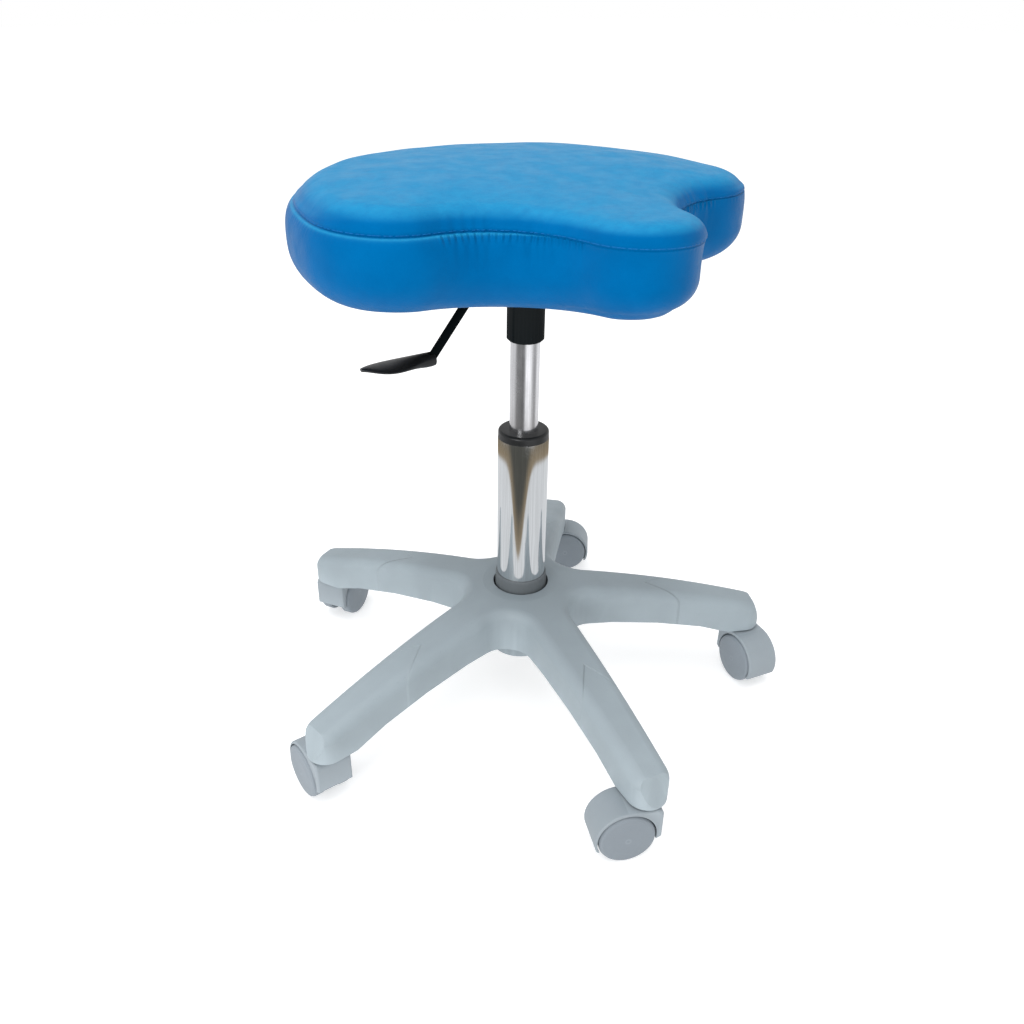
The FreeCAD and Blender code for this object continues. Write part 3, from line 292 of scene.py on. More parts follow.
def polar(tree, place, zero):
    """Distance from the Z axis and direction round it, counted from zero, of a place."""
    split = add_node(tree, "ShaderNodeSeparateXYZ", Vector=place)
    across, up = split.outputs["X"], split.outputs["Y"]
    squares = [calculate(tree, "MULTIPLY", value, value) for value in (across, up)]
    distance = calculate(tree, "SQRT", calculate(tree, "ADD", *squares))
    direction = calculate(tree, "SUBTRACT", calculate(tree, "ARCTAN2", up, across), zero)
    return distance, direction


def link(tree, output, shader, name):
    """Join an output to one of the shader's inputs."""
    tree.links.new(output, shader.inputs[name])


def add_bump(tree, shader, heights):
    """Stack bumps on the shader, each given as (height, depth in metres)."""
    normal = None
    for height, depth in heights:
        node = add_node(tree, "ShaderNodeBump", Strength=1.0, Distance=depth, Height=height)
        if normal:
            tree.links.new(normal, node.inputs["Normal"])
        normal = node.outputs["Normal"]
    link(tree, normal, shader, "Normal")


def edge_share(tree, low, high):
    """How far a place is on a convex edge, from 0 to 1."""
    geometry = tree.nodes.new("ShaderNodeNewGeometry")
    return remap(tree, geometry.outputs["Pointiness"], low, high)


def arm_step(tree):
    """Height of the low step across each arm: a V that points at the hub, proud on the hub's side."""
    distance, direction = polar(tree, place_coordinates(tree), FIRST_ARM_TURN)
    half = math.pi / ARM_COUNT
    folded = calculate(tree, "WRAP", direction, half, -half)
    along = calculate(tree, "MULTIPLY", distance, calculate(tree, "COSINE", folded))
    across = calculate(tree, "MULTIPLY", distance, calculate(tree, "SINE", folded))
    aside = calculate(tree, "ABSOLUTE", across)
    reach = calculate(tree, "SUBTRACT", along, calculate(tree, "MULTIPLY", aside, STEP_SLANT))
    return remap(tree, reach, STEP_START - STEP_RAMP, STEP_START + STEP_RAMP, 1.0, 0.0)


def moulded_plastic(name, colour, roughness, spread=0.06, grain=1400.0, grain_depth=0.05 * MM,
                    shine=0.3, stepped=False):
    """Spark-eroded moulded plastic: faint flow clouds, fine grain, polished edges and handling marks."""
    material, tree, shader = new_material(name)
    place = place_coordinates(tree)
    clouds = noise_value(tree, place, per_metre=9, detail=4.0)
    specks = noise_value(tree, place, per_metre=420, detail=2.0)
    dark = tuple(channel * (1 - spread) for channel in colour)
    light = tuple(min(1.0, channel * (1 + spread)) for channel in colour)
    base = mix_colours(tree, remap(tree, clouds, 0.35, 0.65), dark, light)
    grey = tuple(channel * 0.82 for channel in colour)
    base = mix_colours(tree, remap(tree, specks, 0.62, 0.75, 0.0, 0.25), base, grey)
    worn = tuple(min(1.0, channel * 1.14 + 0.01) for channel in colour)
    base = mix_colours(tree, edge_share(tree, 0.53, 0.62), base, worn)
    link(tree, base, shader, "Base Color")
    marks = noise_value(tree, place, per_metre=38, detail=5.0, roughness=0.65)
    link(tree, remap(tree, marks, 0.3, 0.7, roughness - 0.06, roughness + 0.08), shader, "Roughness")
    fine = noise_value(tree, place, grain, detail=2.0)
    waves = noise_value(tree, place, per_metre=28, detail=2.0)
    heights = [(waves, 0.3 * MM), (fine, grain_depth)]
    if stepped:
        heights.append((arm_step(tree), STEP_HEIGHT))
    shader.inputs["Specular IOR Level"].default_value = shine
    add_bump(tree, shader, heights)
    return material


def gathers(tree):
    """Height of the fine gathers under the seam, deepest where the outline is hollow."""
    band = add_node(tree, "ShaderNodeUVMap", {"uv_map": "band"})
    split = add_node(tree, "ShaderNodeSeparateXYZ", Vector=band.outputs["UV"])
    drift = noise_value(tree, place_coordinates(tree), per_metre=30, detail=2.0)
    turns = calculate(tree, "MULTIPLY", split.outputs["X"], TURN / GATHER_PITCH)
    wander = calculate(tree, "MULTIPLY", drift, GATHER_WANDER)
    waves = calculate(tree, "SINE", calculate(tree, "ADD", turns, wander))
    start = remap(tree, split.outputs["Y"], -3 * MM, -1 * MM, 1.0, 0.0)
    end = remap(tree, split.outputs["Y"], -GATHER_REACH, -GATHER_REACH / 3)
    hollow = add_node(tree, "ShaderNodeAttribute", {"attribute_name": "hollow"})
    share = remap(tree, hollow.outputs["Fac"], 0.0, 0.6, *GATHER_SHARE)
    depth = calculate(tree, "MULTIPLY", calculate(tree, "MULTIPLY", start, end), share)
    return calculate(tree, "MULTIPLY", waves, depth)


def blue_vinyl():
    """Upholstery vinyl: pebbled grain, fine creases and a painted highlight, a patchy lighter blue on the
    faces that look up.
    """
    material, tree, shader = new_material("blue_vinyl")
    place = place_coordinates(tree)
    clouds = noise_value(tree, place, per_metre=22, detail=5.0, roughness=0.6)
    base = mix_colours(tree, remap(tree, clouds, 0.3, 0.7), VINYL_DEEP, VINYL_PLAIN)
    geometry = tree.nodes.new("ShaderNodeNewGeometry")
    split = add_node(tree, "ShaderNodeSeparateXYZ", Vector=geometry.outputs["Normal"])
    # Painted highlight: faces that look up are mixed towards a lighter blue in patches, and get a whiter
    # specular tint, in place of the light that falls on the top
    upward = remap(tree, split.outputs["Z"], 0.55, 0.97)
    stretched = place_coordinates(tree, (1.0, 1.3, 1.0))
    highlight_patches = noise_value(tree, stretched, per_metre=105, detail=7.0, roughness=0.75)
    painted_top_light = calculate(tree, "MULTIPLY", upward, remap(tree, highlight_patches, 0.3, 0.72, 1.0, 0.62))
    base = mix_colours(tree, painted_top_light, base, VINYL_TOP_HIGHLIGHT)
    link(tree, base, shader, "Base Color")
    link(tree, mix_colours(tree, upward, SIDE_SHEEN, TOP_SHEEN), shader, "Specular Tint")
    smears = noise_value(tree, place, per_metre=45, detail=4.0)
    link(tree, remap(tree, smears, 0.3, 0.7, 0.36, 0.5), shader, "Roughness")
    shader.inputs["Specular IOR Level"].default_value = 0.1
    pebbles = add_node(tree, "ShaderNodeTexVoronoi", {"feature": "SMOOTH_F1"}, Vector=place, Scale=900.0)
    across = place_coordinates(tree, (1.0, 2.2, 1.0))
    creases = noise_value(tree, across, per_metre=110, detail=6.0, roughness=0.7)
    add_bump(tree, shader, [(gathers(tree), GATHER_DEPTH), (creases, 0.22 * MM),
                            (pebbles.outputs["Distance"], 0.09 * MM)])
    return material


def polished_metal(name, colour, roughness, scratch_scale, scratch_depth, along=(1, 1, 0.02)):
    """Metal with a slight smear and hairline marks that run along one axis."""
    material, tree, shader = new_material(name)
    place = place_coordinates(tree, along)
    streaks = noise_value(tree, place, scratch_scale, detail=3.0)
    smears = noise_value(tree, place_coordinates(tree), per_metre=30, detail=4.0)
    dull = tuple(channel * 0.9 for channel in colour)
    base = mix_colours(tree, remap(tree, streaks, 0.35, 0.65), dull, colour)
    link(tree, base, shader, "Base Color")
    shader.inputs["Metallic"].default_value = 1.0
    link(tree, remap(tree, smears, 0.35, 0.7, roughness, roughness * 1.5 + 0.02), shader, "Roughness")
    add_bump(tree, shader, [(streaks, scratch_depth)])
    return material


def plywood():
    """Birch plywood: long grain on the faces and dark glue lines round the edge."""
    material, tree, shader = new_material("plywood")
    long_grain = place_coordinates(tree, (1.0, 14.0, 1.0))
    grain = noise_value(tree, long_grain, per_metre=30, detail=6.0)
    face = mix_colours(tree, remap(tree, grain, 0.35, 0.65), WOOD_BROWN, WOOD_PALE)
    layers = add_node(tree, "ShaderNodeTexWave", {"bands_direction": "Z"}, Scale=210.0, Distortion=0.3,
                      Vector=place_coordinates(tree))
    base = mix_colours(tree, remap(tree, layers.outputs["Fac"], 0.75, 0.95, 0.0, 0.6), face, GLUE_BROWN)
    link(tree, base, shader, "Base Color")
    shader.inputs["Roughness"].default_value = 0.7
    add_bump(tree, shader, [(grain, 0.2 * MM)])
    return material


def woven_cloth(name, colour, threads_per_metre):
    """Thin non-woven or woven cloth with a visible thread pattern."""
    material, tree, shader = new_material(name)
    place = place_coordinates(tree)
    threads = []
    for direction in ("X", "Y"):
        wave = add_node(tree, "ShaderNodeTexWave", {"bands_direction": direction}, Vector=place,
                        Scale=threads_per_metre / WAVES_PER_SCALE, Distortion=0.6)
        threads.append(wave.outputs["Fac"])
    weave = calculate(tree, "MULTIPLY", *threads)
    pale = tuple(min(1.0, channel * 2.2 + 0.01) for channel in colour)
    base = mix_colours(tree, remap(tree, weave, 0.0, 1.0, 0.0, 0.5), colour, pale)
    link(tree, base, shader, "Base Color")
    shader.inputs["Roughness"].default_value = 0.9
    add_bump(tree, shader, [(weave, 0.3 * MM)])
    return material


materials = {
    "base": moulded_plastic("base_plastic", BASE_GREY, 0.5, stepped=True),
    "hood": moulded_plastic("hood_plastic", HOOD_GREY, 0.45),
    "wheel": moulded_plastic("wheel_plastic", WHEEL_GREY, 0.4),
    "sleeve": moulded_plastic("sleeve_plastic", SLEEVE_GREY, 0.5),
    "black": moulded_plastic("black_plastic", BLACK, 0.35, spread=0.3, shine=0.4),
    "coated": moulded_plastic("black_powder_coat", COAT_BLACK, 0.5, spread=0.3, grain=2200.0,
                              grain_depth=0.08 * MM, shine=0.015),
    "rubber": moulded_plastic("rubber", RUBBER_BLACK, 0.75, spread=0.2),
    "chrome": polished_metal("chrome", CHROME, 0.05, 700.0, 0.004 * MM),
    "satin": polished_metal("satin_steel", STEEL, 0.2, 900.0, 0.02 * MM),
    "zinc": polished_metal("zinc_steel", ZINC, 0.35, 500.0, 0.03 * MM, along=(1, 1, 1)),
    "plywood": plywood(),
    "dust": woven_cloth("dust_cloth", CLOTH_BLACK, 900.0),
    "vinyl": blue_vinyl(),
    "thread": moulded_plastic("blue_thread", THREAD_BLUE, 0.55, shine=0.1),
}


# The start of a CAD node's name and the material it wears; the first that fits counts
WORN = (("star_base", "base"), ("hub_sleeve", "sleeve"), ("castor_hood", "hood"),
        ("castor_wheel", "wheel"), ("column_tube", "chrome"), ("column_guide", "black"),
        ("gas_cylinder", "satin"), ("piston_rod", "satin"), ("taper_socket", "coated"),
        ("seat_plate", "coated"), ("lever_rod", "coated"), ("lever_paddle", "black"),
        ("rod_guide_seal", "black"), ("rubber_bumper", "rubber"), ("seat_board", "plywood"),
        ("dust_cover", "dust"), ("seat_", "vinyl"), ("", "zinc"))


def material_of(node):
    """Which material a CAD node wears."""
    return next(name for start, name in WORN if node.startswith(start))


def wear(piece, material):
    """Give a piece its one material."""
    piece.data.materials.clear()
    piece.data.materials.append(material)


for node_name, piece in nodes.items():
    wear(piece, materials[material_of(node_name)])


# ---- seat cushion ----

def seat_outline(count):
    """Evenly spaced points round the CAD cover's side, anticlockwise from above, with outward normals."""
    panel = nodes["seat_cover_top"]
    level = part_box("seat_cover_top")[0].z + OUTLINE_RISE
    cut = bmesh.new()
    cut.from_mesh(panel.data)
    bmesh.ops.remove_doubles(cut, verts=cut.verts, dist=1e-6)
    bmesh.ops.bisect_plane(cut, geom=cut.verts[:] + cut.edges[:] + cut.faces[:], plane_co=(0, 0, level),
                           plane_no=(0, 0, 1), clear_inner=True, clear_outer=True)
    rings = []
    waiting = set(cut.verts)
    while waiting:
        here = min(waiting, key=lambda vertex: tuple(vertex.co))
        ring = []
        while here is not None:
            waiting.discard(here)
            ring.append((here.co.x, here.co.y))
            following = [edge.other_vert(here) for edge in here.link_edges]
            here = next((vertex for vertex in following if vertex in waiting), None)
        rings.append(np.array(ring))
    cut.free()
    ring = max(rings, key=lambda points: np.ptp(points[:, 0]) + np.ptp(points[:, 1]))
    area = np.sum(ring[:, 0] * np.roll(ring[:, 1], -1) - ring[:, 1] * np.roll(ring[:, 0], -1))
    if area < 0:
        ring = ring[::-1]
    closed = np.vstack([ring, ring[:1]])
    reach = np.concatenate([[0], np.cumsum(np.linalg.norm(np.diff(closed, axis=0), axis=1))])
    stations = np.linspace(0, reach[-1], count, endpoint=False)
    points = np.stack([np.interp(stations, reach, closed[:, axis]) for axis in (0, 1)], axis=1)
    points = smooth_round(points, OUTLINE_PASSES)
    along = np.roll(points, -1, axis=0) - np.roll(points, 1, axis=0)
    along /= np.linalg.norm(along, axis=1)[:, None]
    return points, np.stack([along[:, 1], -along[:, 0]], axis=1), reach[-1]


def smooth_round(values, passes):
    """Values along a closed loop, averaged with their neighbours."""
    for _ in range(passes):
        values = 0.5 * values + 0.25 * (np.roll(values, 1, axis=0) + np.roll(values, -1, axis=0))
    return values


def hollow_share(points, normals, length):
    """How hollow the outline is at each point: 1 in the middle of the scallops, 0 on the lobes."""
    spin = np.cross(normals, np.roll(normals, -1, axis=0))
    bend = smooth_round(spin * len(points) / length, HOLLOW_SHARE_PASSES)
    return np.clip(-bend / np.abs(bend.min()), 0, 1)


def cushion_rings(low, high):
    """The cushion's section as rings: (inset from the side or None, share of the way out, height)."""
    rings = []
    seam = low + SEAM_RISE
    board_low, board_high = low + BOARD_RISE[0], low + BOARD_RISE[1]
    for share in np.linspace(0.15, 0.92, BOARD_RINGS):
        rings.append((BOARD_INSET, share, board_high))
    rings += [(BOARD_INSET, 1, board_high), (BOARD_INSET, 1, board_low), (HEM_INSET, 1, board_low)]
    for inset in np.linspace(HEM_INSET, FOOT_ROUND + EDGE_INSET, UNDER_RINGS, endpoint=False):
        rings.append((inset, 1, low))
    for angle in np.linspace(0, math.pi / 2, FOOT_RINGS):
        rings.append((EDGE_INSET + FOOT_ROUND * (1 - math.sin(angle)), 1,
                      low + FOOT_ROUND * (1 - math.cos(angle))))
    fine_foot = seam - FINE_BELOW_SEAM
    wall = np.concatenate([np.linspace(low + FOOT_ROUND, fine_foot, WALL_RINGS)[1:],
                           np.linspace(fine_foot, seam + FINE_ABOVE_SEAM, FINE_RINGS)[1:]])
    rings += [(EDGE_INSET, 1, height) for height in wall]
    inwards, upwards = TOP_ROUND
    for angle in np.linspace(0, math.pi / 2, ROUND_RINGS)[1:]:
        rings.append((EDGE_INSET + inwards * (1 - math.cos(angle)), 1,
                      high - upwards * (1 - math.sin(angle))))
    for share in np.linspace(1, INNERMOST, TOP_RINGS)[1:]:
        rings.append((EDGE_INSET + inwards, share, high))
    return rings


def ring_grid(points, normals, rings):
    """Points of every ring, as an array of rings x columns x 3."""
    centre = np.array([0.0, points[:, 1].mean()])
    grid = []
    for inset, share, height in rings:
        flat = centre + share * (points - inset * normals - centre)
        grid.append(np.column_stack([flat, np.full(len(flat), height)]))
    return np.array(grid)


def grid_mesh(name, grid):
    """A closed mesh through the rings, with a fan at each end."""
    count, columns = grid.shape[:2]
    vertices = [tuple(point) for point in grid.reshape(-1, 3)]
    faces = []
    for ring in range(count - 1):
        for column in range(columns):
            following = (column + 1) % columns
            faces.append((ring * columns + column, ring * columns + following,
                          (ring + 1) * columns + following, (ring + 1) * columns + column))
    for ring, flip in ((0, True), (count - 1, False)):
        vertices.append(tuple(grid[ring].mean(axis=0)))
        tip = len(vertices) - 1
        for column in range(columns):
            pair = (ring * columns + column, ring * columns + (column + 1) % columns)
            faces.append((pair[1], pair[0], tip) if flip else (*pair, tip))
    mesh = bpy.data.meshes.new(name)
    mesh.from_pydata(vertices, [], faces)
    mesh.shade_smooth()
    piece = bpy.data.objects.new(name, mesh)
    bpy.context.scene.collection.objects.link(piece)
    return piece


def positions(mesh):
    """The mesh's vertices as an array."""
    flat = np.empty(len(mesh.vertices) * 3)
    mesh.vertices.foreach_get("co", flat)
    return flat.reshape(-1, 3)


def swell(proxy, seam, low):
    """Blow the proxy up as cloth that is held along the seam and underneath.

    Returns its vertices at rest and how far each one moved, softly limited."""
    bpy.context.view_layer.objects.active = proxy
    even = proxy.modifiers.new("even", "REMESH")
    even.mode = "VOXEL"
    even.voxel_size = VOXEL
    bpy.ops.object.modifier_apply(modifier="even")
    rest = positions(proxy.data)
    held = np.abs(rest[:, 2] - seam) < HELD_REACH
    held |= rest[:, 2] < low + HELD_REACH
    group = proxy.vertex_groups.new(name="held")
    group.add([int(number) for number in np.flatnonzero(held)], 1.0, "ADD")
    cloth = proxy.modifiers.new("cloth", "CLOTH")
    cloth.settings.vertex_group_mass = "held"
    cloth.settings.use_pressure = True
    cloth.settings.uniform_pressure_force = PRESSURE
    cloth.settings.effector_weights.gravity = 0
    cloth.settings.quality = CLOTH_QUALITY
    cloth.point_cache.frame_start = 1
    cloth.point_cache.frame_end = CLOTH_STEPS
    for step in range(1, CLOTH_STEPS + 1):
        bpy.context.scene.frame_set(step)
    final = proxy.evaluated_get(bpy.context.evaluated_depsgraph_get()).to_mesh()
    moved = positions(final) - rest
    proxy.evaluated_get(bpy.context.evaluated_depsgraph_get()).to_mesh_clear()
    bpy.context.scene.frame_set(1)
    travel = np.linalg.norm(moved, axis=1)[:, None]
    return rest, moved * SWELL_CAP * np.tanh(travel / SWELL_CAP) / np.maximum(travel, 1e-9)


def spread_motion(grid, proxy, rest, moved):
    """The proxy's motion at every point of the grid, smoothed along and across the rings."""
    faces = [tuple(face.vertices) for face in proxy.data.polygons]
    tree = BVHTree.FromPolygons([tuple(point) for point in rest], faces)
    field = np.empty_like(grid)
    for ring in range(grid.shape[0]):
        for column in range(grid.shape[1]):
            place, _, number, _ = tree.find_nearest(Vector(grid[ring, column]))
            corners = list(faces[number])
            away = np.linalg.norm(rest[corners] - np.array(place), axis=1)
            weights = 1 / (away + NEAR_CORNER)
            field[ring, column] = weights @ moved[corners] / weights.sum()
    top = grid[:, 0, 2] > grid[:, 0, 2].max() - TOP_DEPTH
    for step in range(TOP_PASSES):
        calmer = 0.5 * field + 0.25 * (np.roll(field, 1, axis=1) + np.roll(field, -1, axis=1))
        inner = 0.5 * calmer[1:-1] + 0.25 * (calmer[2:] + calmer[:-2])
        calmer = np.concatenate([calmer[:1], inner, calmer[-1:]])
        field = calmer if step < SIDE_PASSES else np.where(top[:, None, None], calmer, field)
    return field


def rough(place, per_metre):
    """Fractal noise at a place, about -1 to 1."""
    return noise.fractal(Vector(place) * per_metre, 0.9, 2.1, 3)


def sew(grid, normals, hollow, length, seam_ring):
    """Sink the seam with a welt above it, fold the band in the scallops and dent the panel a little."""
    above = reach_above(grid, seam_ring)
    station = np.arange(len(hollow)) * length / len(hollow)
    turns = TURN * station / length
    drift = np.array([noise.noise(Vector((math.cos(turn) * WANDER_CIRCLE, WANDER_HEIGHT,
                                          math.sin(turn) * WANDER_CIRCLE))) for turn in turns])
    profile = sum(height * np.exp(-((above - place * MM) / (width * MM)) ** 2)
                  for height, place, width in SEAM_PROFILE)
    folds = np.sin(TURN * station / FOLD_PITCH + FOLD_WANDER * drift)
    fold_fade = np.exp(-((above - FOLD_PLACE) / FOLD_SPREAD) ** 2) * (above > FOLD_END)
    push = profile + fold_fade * (FOLD_HEIGHT * hollow ** 2 * folds)[None, :]
    near = np.exp(-(above / SEAM_REACH) ** 4) * MM
    out = np.column_stack([normals, np.zeros(len(normals))])
    grid = grid + (push * near)[:, :, None] * out[None, :, :]
    for ring in np.flatnonzero(above[:, 0] > DENT_START):
        for column in range(grid.shape[1]):
            grid[ring, column, 2] += DENT_DEPTH * rough(grid[ring, column], DENTS_PER_METRE)
    return grid


def ease(share):
    """A share held between 0 and 1, with soft ends."""
    share = np.clip(share, 0, 1)
    return share * share * (3 - 2 * share)


def reach_above(grid, seam_ring):
    """How far each ring lies from the seam, measured over the cushion's surface."""
    section = np.linalg.norm(np.diff(grid[:, 0], axis=0), axis=1)
    reach = np.concatenate([[0], np.cumsum(section)])
    return (reach - reach[seam_ring])[:, None]


def bulge_share(rise):
    """How far the band stands out at a share of its height: 1 where it is widest, 0 at both ends."""
    under = np.sin(0.5 * math.pi * np.clip(rise / WIDEST, 0, 1))
    over = (1 - np.clip((rise - WIDEST) / (1 - WIDEST), 0, 1) ** 3) ** 0.6
    return np.where(rise < WIDEST, under, over)


def top_droop(grid):
    """How much the top falls away at each place, towards the ends of the lobes."""
    from_centre = np.hypot(grid[:, :, 0] - DROOP_CENTRE[0], grid[:, :, 1] - DROOP_CENTRE[1])
    leftwards = ease((from_centre - DROOP_RANGE[0]) / (DROOP_RANGE[1] - DROOP_RANGE[0]))
    rightwards = ease((grid[:, :, 0] - RIGHT_DROOP_START) / RIGHT_DROOP_LENGTH)
    return LEFT_DROOP * leftwards + RIGHT_DROOP * rightwards


def plump(grid, points, normals, hollow, low, seam, seam_ring):
    """Stuff the band out between hem and seam, and let the cover pull the cushion into shape."""
    above = reach_above(grid, seam_ring)
    hollow = smooth_round(hollow, HOLLOW_PASSES)
    nose = ease((-points[:, 1] - NOSE_START) / NOSE_LENGTH)
    right = ease(0.5 + points[:, 0] / FILL_CHANGE)
    lobes = LEFT_FILL + (RIGHT_FILL - LEFT_FILL) * right
    fill = lobes + (NOSE_FILL - lobes) * nose
    rise = np.clip((grid[:, :, 2] - low) / (seam - low), 0, 1)
    bulge = bulge_share(rise)
    bulge[:FIRST_FOOT_RING] = 0
    out = np.column_stack([normals, np.zeros(len(normals))])
    grid = grid + (bulge * fill[None, :])[:, :, None] * out[None, :, :]
    sag = FRONT_SAG * ease((SAG_START - grid[:, :, 1]) / SAG_LENGTH) + SIDE_LEAN * grid[:, :, 0]
    dip = HOLLOW_DIP * hollow * ease(above / DIP_START) * np.exp(-np.clip(above, 0, None) / DIP_REACH)
    droop = top_droop(grid) * ease(above / DROOP_START)
    hang = HOLLOW_DROP * hollow * ease(1 - DROP_FADE * rise)
    hang -= NOSE_LIFT * nose * ease(rise / NOSE_LIFT_RISE) * (1 - rise) ** 2
    hang[:FIRST_FOOT_RING] = 0
    grid[:, :, 2] -= hang + sag * rise + dip + droop
    return grid


def mark_band(piece, above, hollow, length):
    """Note on the mesh where each place lies along and above the seam, and how hollow it is there."""
    mesh = piece.data
    columns = len(hollow)
    shares = np.zeros(len(mesh.vertices))
    shares[:len(above) * columns] = np.tile(hollow, len(above))
    mesh.attributes.new("hollow", "FLOAT", "POINT").data.foreach_set("value", shares)
    layer = mesh.uv_layers.new(name="band")
    for face in mesh.polygons:
        places = [divmod(number, columns) for number in face.vertices]
        wraps = {column for _, column in places} >= {0, columns - 1}
        for corner, (ring, column) in zip(face.loop_indices, places):
            along = columns if wraps and column == 0 else column
            height = above[min(ring, len(above) - 1)][0]
            layer.data[corner].uv = (along * length / columns, height)


def stitches(grid, seam_ring, length):
    """A row of short threads laid along the seam, as one piece."""
    ring = grid[seam_ring + STITCH_RING]
    count = round(length / STITCH_PITCH)
    threads = bmesh.new()
    around, along_thread = STITCH_FACETS
    for number in range(count):
        column = int(round(number * len(ring) / count)) % len(ring)
        along = Vector(ring[(column + 2) % len(ring)]) - Vector(ring[column - 2])
        turn = along.to_track_quat("X", "Z").to_matrix().to_4x4()
        size = Matrix.Diagonal((STITCH_SHARE * STITCH_PITCH, THREAD_RADIUS, THREAD_RADIUS, 1))
        where = Matrix.Translation(Vector(ring[column])) @ turn @ size
        bmesh.ops.create_uvsphere(threads, u_segments=around, v_segments=along_thread, radius=1.0,
                                  matrix=where)
    mesh = bpy.data.meshes.new("seam_thread")
    threads.to_mesh(mesh)
    threads.free()
    mesh.shade_smooth()
    piece = bpy.data.objects.new("seam_thread", mesh)
    bpy.context.scene.collection.objects.link(piece)
    return piece


def upholster():
    """The cushion: cloth blown up over its seam and hem, then sewn in fine detail."""
    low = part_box("seat_cover_band")[0].z
    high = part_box("seat_cover_top")[1].z + TOP_RISE
    seam = low + SEAM_RISE
    points, normals, length = seat_outline(COLUMNS)
    rings = cushion_rings(low, high)
    grid = ring_grid(points, normals, rings)
    seam_ring = int(np.argmin([abs(height - seam) + abs(inset - EDGE_INSET) + abs(share - 1)
                               for inset, share, height in rings]))
    ring_step, column_step = PROXY_STEP
    coarse = ring_grid(points[::column_step], normals[::column_step], rings[HEM_RING::ring_step])
    proxy = grid_mesh("cushion_proxy", coarse)
    rest, moved = swell(proxy, seam, low)
    grid = grid + spread_motion(grid, proxy, rest, moved)
    bpy.data.objects.remove(proxy)
    hollow = hollow_share(points, normals, length)
    grid = plump(grid, points, normals, hollow, low, seam, seam_ring)
    grid = sew(grid, normals, hollow, length, seam_ring)
    cushion = grid_mesh("seat_cushion", grid)
    mark_band(cushion, reach_above(grid, seam_ring), hollow, length)
    wear(cushion, materials["vinyl"])
    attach(cushion, "seat")
    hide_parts("seat_foam", "seat_cover_top", "seat_cover_band")
    thread = stitches(grid, seam_ring, length)
    wear(thread, materials["thread"])
    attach(thread, "seat")


def dust_cloth():
    """Thin cloth under the board that hangs a little between its edge and the seat plate."""
    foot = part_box("dust_cover")[0].z + DUST_THICKNESS
    plate_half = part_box("seat_plate")[1].x
    points, normals, _ = seat_outline(COLUMNS // 2)
    shares = np.linspace(INNERMOST, 1, DUST_RINGS)
    under = ring_grid(points, normals, [(DUST_INSET, share, foot) for share in shares])
    from_edge = (1 - shares)[:, None] * np.linalg.norm(under[-1, :, :2], axis=1)[None, :]
    from_plate = np.maximum(np.abs(under[:, :, 0]), np.abs(under[:, :, 1])) - plate_half
    hang = DUST_SAG * ease(from_edge / DUST_FROM_EDGE) * ease(from_plate / DUST_FROM_PLATE)
    for ring in range(len(shares)):
        for column in range(len(points)):
            hang[ring, column] *= 1 + DUST_WAVES * rough(under[ring, column], DUST_WAVES_PER_METRE)
    under[:, :, 2] -= hang
    upper = under[::-1].copy()
    upper[:, :, 2] += DUST_THICKNESS
    cloth = grid_mesh("seat_dust_cloth", np.concatenate([under, upper]))
    wear(cloth, materials["dust"])
    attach(cloth, "seat")
    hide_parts("dust_cover")


# ---- floor, light and camera ----

def painted_floor_reflection(tree):
    """Painted reflection, seen only by glossy rays: pale floor near the stool, a brown wedge in front and
    bands far out, glowing in place of a room.
    """
    geometry = tree.nodes.new("ShaderNodeNewGeometry")
    place = geometry.outputs["Position"]
    distance, direction = polar(tree, place, WEDGE_TURN)
    direction = calculate(tree, "WRAP", direction, math.pi, -math.pi)
    spread = calculate(tree, "DIVIDE", direction, WEDGE_SPREAD)
    opposite = calculate(tree, "MULTIPLY", spread, -1.0)
    wedge = calculate(tree, "EXPONENT", calculate(tree, "MULTIPLY", spread, opposite))
    edge = calculate(tree, "SUBTRACT", PALE_REACH, calculate(tree, "MULTIPLY", wedge, WEDGE_CUT))
    beyond = calculate(tree, "SUBTRACT", distance, edge)
    brown = mix_colours(tree, remap(tree, beyond, 0.0, WEDGE_FADE), WEDGE_BROWN, WEDGE_DARK)
    near = mix_colours(tree, remap(tree, beyond, 0.0, BAND_BLUR), PALE_FLOOR, brown)
    _, around = polar(tree, place, 0.0)
    share = calculate(tree, "DIVIDE", calculate(tree, "WRAP", around, TURN, 0.0), TURN)
    ramp = add_node(tree, "ShaderNodeValToRGB", Fac=share)
    ramp.color_ramp.interpolation = "EASE"
    while len(ramp.color_ramp.elements) < len(FAR_BANDS):
        ramp.color_ramp.elements.new(0.5)
    for element, (position, level) in zip(ramp.color_ramp.elements, FAR_BANDS):
        element.position = position
        element.color = (level, level, 1.02 * level, 1)
    far = remap(tree, distance, FAR_START, FAR_START + BAND_BLUR)
    return mix_colours(tree, far, near, ramp.outputs["Color"])


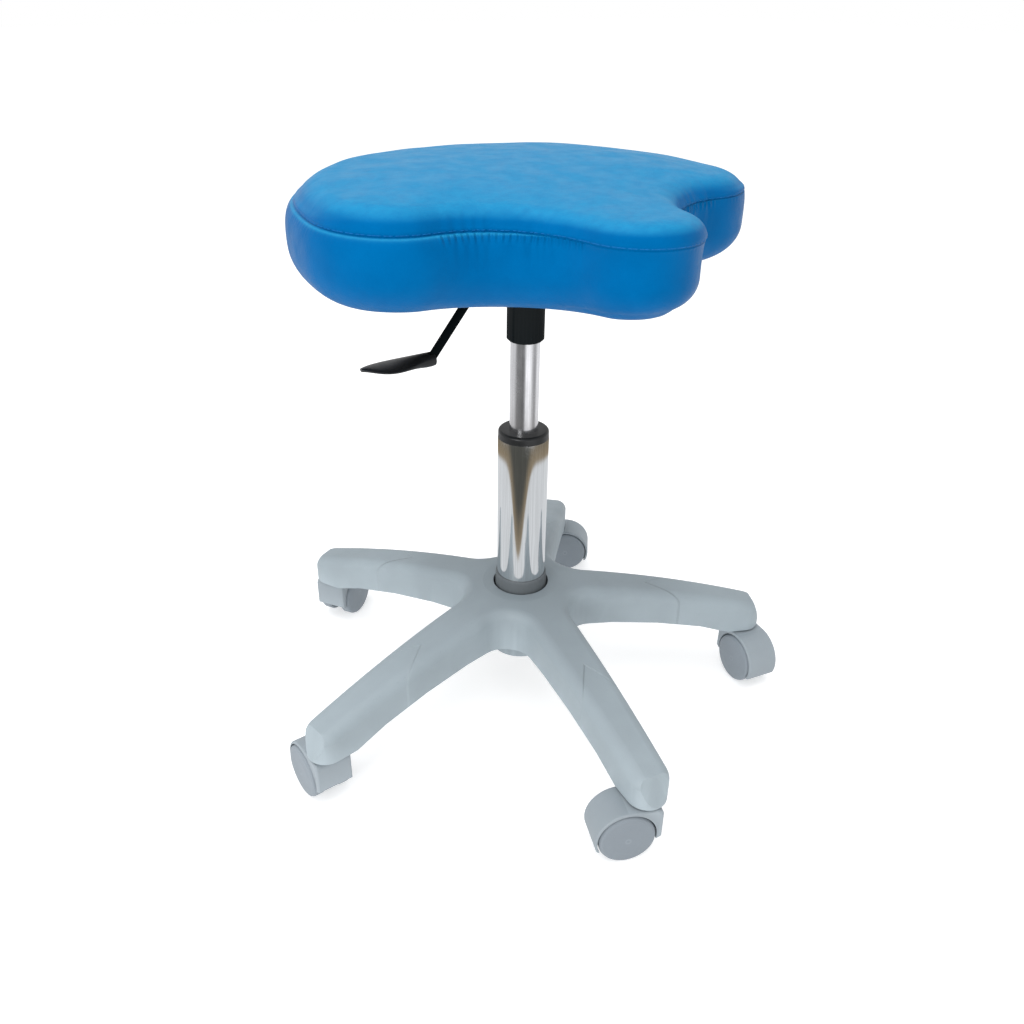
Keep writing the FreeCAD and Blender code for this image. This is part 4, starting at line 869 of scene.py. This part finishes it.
def floor_material():
    """White floor that shows contact shadows, and shows metal a glowing painted reflection instead."""
    material, tree, shader = new_material("floor")
    shader.inputs["Base Color"].default_value = (0.8, 0.8, 0.8, 1)
    shader.inputs["Roughness"].default_value = 0.9
    shader.inputs["Specular IOR Level"].default_value = 0.0
    shader.inputs["Emission Color"].default_value = (1, 1, 1, 1)
    shader.inputs["Emission Strength"].default_value = FLOOR_GLOW
    # Painted reflection: glossy rays see this glowing pattern instead of the white floor
    reflection_glow = add_node(tree, "ShaderNodeEmission", Color=painted_floor_reflection(tree))
    path = tree.nodes.new("ShaderNodeLightPath")
    mix = tree.nodes.new("ShaderNodeMixShader")
    tree.links.new(path.outputs["Is Glossy Ray"], mix.inputs[0])
    tree.links.new(shader.outputs[0], mix.inputs[1])
    tree.links.new(reflection_glow.outputs[0], mix.inputs[2])
    tree.links.new(mix.outputs[0], tree.nodes["Material Output"].inputs["Surface"])
    return material


def studio():
    """Plain white floor, a bright even room, a big lamp overhead and a soft one by the camera."""
    bpy.ops.mesh.primitive_plane_add(size=FLOOR_SIZE)
    floor = bpy.context.object
    floor.name = "floor"
    wear(floor, floor_material())
    world = bpy.data.worlds.new("room")
    bpy.context.scene.world = world
    world.use_nodes = True
    background = world.node_tree.nodes["Background"]
    background.inputs["Color"].default_value = (1, 1, 1, 1)
    path = world.node_tree.nodes.new("ShaderNodeLightPath")
    strength = remap(world.node_tree, path.outputs["Is Camera Ray"], 0.0, 1.0, *ROOM_LIGHT)
    link(world.node_tree, strength, background, "Strength")
    for name, place, size, watts in LAMPS:
        lamp(name, place, size, watts)


def lamp(name, place, size, watts):
    """A square soft lamp that faces the stool."""
    data = bpy.data.lights.new(name, "AREA")
    data.size = size
    data.energy = watts
    holder = bpy.data.objects.new(name, data)
    holder.location = place
    holder.rotation_euler = (Vector(LAMP_TARGET) - Vector(place)).to_track_quat("-Z", "Y").to_euler()
    bpy.context.scene.collection.objects.link(holder)


def place_camera():
    """Camera in front of the seat's left side, looking down at the stool."""
    level_reach = math.cos(CAMERA_PITCH)
    forward = Vector((math.sin(CAMERA_HEADING) * level_reach, math.cos(CAMERA_HEADING) * level_reach,
                      -math.sin(CAMERA_PITCH)))
    level = forward.cross(Vector((0, 0, 1))).normalized()
    upright = level.cross(forward)
    across = level * math.cos(CAMERA_ROLL) + upright * math.sin(CAMERA_ROLL)
    up = upright * math.cos(CAMERA_ROLL) - level * math.sin(CAMERA_ROLL)
    data = bpy.data.cameras.new("camera")
    data.sensor_width = SENSOR_MM
    data.lens = LENS_MM
    holder = bpy.data.objects.new("camera", data)
    holder.matrix_world = Matrix((across, up, -forward)).transposed().to_4x4()
    holder.location = CAMERA_PLACE
    bpy.context.scene.collection.objects.link(holder)
    bpy.context.scene.camera = holder


upholster()
dust_cloth()
studio()
place_camera()
bpy.context.scene.view_settings.view_transform = "Standard"
